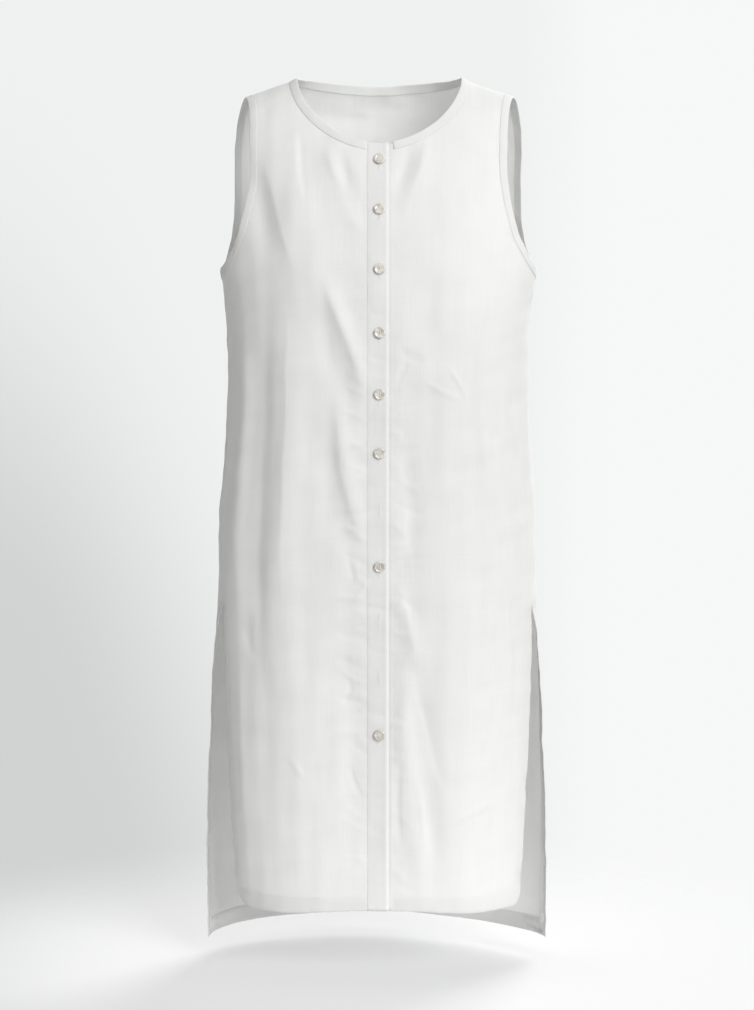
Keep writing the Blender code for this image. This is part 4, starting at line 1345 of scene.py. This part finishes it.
def binding_rows(edges, seams, sheet, kick):
    """Cross-sections of a stretch of binding, its stitch line and its outward directions."""
    kick = np.broadcast_to(kick, len(edges))
    share = np.concatenate([ACROSS, ROUND_SHARE, ACROSS[::-1]])
    face = BINDING_PROUD + CROWN
    edge_level = face[-1] - WRAP[-1] * BEND_SHARE
    level = np.concatenate([face, edge_level, face[::-1] - WRAP[::-1]])
    inner_share = np.concatenate([ACROSS, ROUND_INSIDE, ACROSS[::-1]])
    middle = face - WRAP / 2
    inner_level = np.concatenate([face - BINDING_LAYER, np.full(4, middle[-1]),
                                  face[::-1] - WRAP[::-1] + BINDING_LAYER])
    share = np.concatenate([share, inner_share[::-1]])
    level = np.concatenate([level, inner_level[::-1]])
    places = edges[:, None] + (seams - edges)[:, None] * share[None, :, None]
    places[..., 1] = np.maximum(places[..., 1], 0)
    turn, root = places[..., 0], places[..., 1]
    out = normals(cloth, turn, root, sheet)
    lift_up = level[None] + kick[:, None] * (1 - share[None])
    return cloth(turn, root, sheet), out, lift_up, np.broadcast_to(share, turn.shape)


def binding(name, stretches, ring):
    """Folded strip from stretches of cross-sections, and the points of its stitch line."""
    base, out, lift_up, share = (np.concatenate(rows) for rows in zip(*stretches))
    middle = base[:, MIDDLE_STEP]
    lengths = lengths_along(middle)
    pucker = BINDING_PUCKER * np.sin(lengths / 0.0021) * (0.6 + 0.4 * np.sin(lengths / 0.013))
    lift_up = lift_up + pucker[:, None] * np.interp(share, [0.3, 0.8, 1], [0, 1, 0.6])
    points = base + out * lift_up[..., None]
    width = lengths_along(points[MIDDLE_STEP])
    uv = np.stack([np.broadcast_to(lengths[:, None], share.shape),
                   np.broadcast_to(width, share.shape)], -1)
    piece = swept(name, points, uv, binding_cloth, ring)
    line = points[:, STITCH_SHARE] + out[:, STITCH_SHARE] * 0.00005
    return piece, (line, out[:, STITCH_SHARE])


shares = np.linspace(0, 1, BINDING_STEPS)
stretches = []
for sheet, side, start in (("front", -1, -PLACKET_SEAM_UPPER + SEAM_GAP / 2), ("back", 1, 0),
                           ("front", 1, PLACKET_SEAM_UNDER + SEAM_GAP / 2)):
    edges = neck_edge(sheet, side, start, shares)
    seams = neck_seam(sheet, side, start, BINDING_WIDTH - SEAM_GAP / 2, shares)
    width_place = body_form(edges[:, 0], edges[:, 1], sheet)[:, 0]
    outward = (np.abs(width_place) / NECK_HALF) ** 4
    kick = BINDING_KICK * outward + (BACK_BINDING_KICK * (1 - outward) if sheet == "back" else 0)
    rows = binding_rows(edges, seams, sheet, kick)
    if sheet == "back":
        rows = [part[-2:0:-1] for part in rows]
    elif side > 0:
        rows = [part[::-1] for part in rows]
    stretches.append(rows)
neck_piece, neck_line = binding("neck_binding_cloth", stretches, False)
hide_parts("neck_binding")
neck_stitches = sewn("neck_stitches", [neck_line])
rides(neck_piece)
rides(neck_stitches)

for side, name in ((-1, "armhole_binding_right"), (1, "armhole_binding_left")):
    stretches = []
    for sheet in ("front", "back"):
        rows = binding_rows(
            armhole_edge(sheet, side, shares),
            armhole_seam(sheet, side, BINDING_WIDTH - SEAM_GAP / 2, shares), sheet, 0)
        if sheet == "back":
            rows = [part[-2:0:-1] for part in rows]
        stretches.append(rows)
    piece, line = binding(name + "_cloth", stretches, True)
    stitches = sewn(name + "_stitches", [line], ring=True)
    rides(piece)
    rides(stitches)
    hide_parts(name)

# Buttons
# Eight four-hole shell buttons with a raised rim, sewn through to the under band and buttoned.
BUTTON_RADIUS = 0.0068
BUTTON_THICKNESS = 0.0024
BUTTON_DISH = 0.0007
BUTTON_SEAT = 0.0015
HOLE_REACH = 0.00125
HOLE_RADIUS = 0.00062
THREAD_APART = 0.00016
THREAD_PROUD = 0.00012
SHELL_BANDS = ((160, 160, 260), 2)
SHELL_TONES = ((0.36, (0.46, 0.43, 0.385, 1)), (0.66, (0.74, 0.71, 0.65, 1)))
SHELL_FINISH = {"Roughness": 0.28, "Coat Weight": 0.6, "Coat Roughness": 0.08}

# Distance from the axis and height, from the middle of the face round the rim to the underside
BUTTON_PROFILE = (
    (0, BUTTON_THICKNESS - BUTTON_DISH), (0.0036, BUTTON_THICKNESS - BUTTON_DISH),
    (0.0043, BUTTON_THICKNESS - 0.0005), (0.0050, BUTTON_THICKNESS - 0.0001),
    (0.0057, BUTTON_THICKNESS), (0.0063, BUTTON_THICKNESS - 0.0002),
    (0.0067, BUTTON_THICKNESS - 0.0008), (BUTTON_RADIUS, 0.0012), (0.0064, 0.0005),
    (0.0056, 0.0001), (0.0048, 0), (0, 0))


def shell_material():
    """Polished shell: grey-beige with pearly bands under a clear polish."""
    material, tree, shader = new_material("shell")
    place = add_node(tree, "ShaderNodeTexCoord", {}).outputs["Object"]
    ramp = add_node(tree, "ShaderNodeValToRGB", {"Fac": stretched_noise(tree, place, *SHELL_BANDS)})
    for element, (position, tone) in zip(ramp.color_ramp.elements, SHELL_TONES):
        element.position, element.color = position, tone
    feed(tree, shader, {"Base Color": ramp.outputs["Color"], **SHELL_FINISH})
    return material


shell = shell_material()
disc = bmesh.new()
rim = [disc.verts.new((x, 0, z)) for x, z in BUTTON_PROFILE]
for k in range(len(rim) - 1):
    disc.edges.new((rim[k], rim[k + 1]))
bmesh.ops.spin(disc, geom=disc.verts[:] + disc.edges[:], axis=(0, 0, 1), cent=(0, 0, 0),
               angle=2 * math.pi, steps=40, use_merge=True, use_duplicate=False)
bmesh.ops.remove_doubles(disc, verts=disc.verts[:], dist=0.00001)
bmesh.ops.recalc_face_normals(disc, faces=disc.faces[:])
disc_mesh = bpy.data.meshes.new("button")
disc.to_mesh(disc_mesh)
disc.free()
drills = bmesh.new()
for x in (-HOLE_REACH, HOLE_REACH):
    for y in (-HOLE_REACH, HOLE_REACH):
        made = bmesh.ops.create_cone(drills, cap_ends=True, segments=14, radius1=HOLE_RADIUS,
                                     radius2=HOLE_RADIUS, depth=0.01)
        bmesh.ops.translate(drills, vec=(x, y, 0), verts=made["verts"])
drill_mesh = bpy.data.meshes.new("drills")
drills.to_mesh(drill_mesh)
drills.free()
blank = placed("blank", disc_mesh)
drill = placed("drill", drill_mesh)
cut = blank.modifiers.new("Holes", "BOOLEAN")
cut.object = drill
button_mesh = bpy.data.meshes.new_from_object(
    blank.evaluated_get(bpy.context.evaluated_depsgraph_get()))
for thing in (blank, drill):
    bpy.data.objects.remove(thing, do_unlink=True)

button_threads = []
for number, height in enumerate(BUTTON_HEIGHTS, 1):
    root = math.sqrt(drop_at(0, -height))
    spot = np.array([[turn_at(0.0, root), root]])
    points, out = on_cloth(spot, "front", BUTTON_SEAT)
    turn_to = Vector(out[0]).to_track_quat("Z", "Y").to_matrix().to_4x4()
    turn_to.translation = Vector(points[0])
    mesh = button_mesh.copy()
    mesh.transform(turn_to)
    mesh.materials.clear()
    mesh.materials.append(shell)
    mesh.shade_smooth()
    mesh.set_sharp_from_angle(angle=math.radians(50))
    button = placed(f"shell_button_{number}", mesh)
    rides(button)
    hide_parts(f"button_{number}")
    face_height = BUTTON_THICKNESS - BUTTON_DISH + THREAD_PROUD
    for x in (-HOLE_REACH, HOLE_REACH):
        for shift in (-THREAD_APART, THREAD_APART):
            ends = [turn_to @ Vector((x + shift, y, face_height))
                    for y in (-HOLE_REACH, HOLE_REACH)]
            button_threads.append((np.array(ends), np.array([out[0], out[0]])))
button_sewing = sewn("button_threads", button_threads, pitch=0.0025, stitch=0.0030,
                     thread=0.00036)
rides(button_sewing)
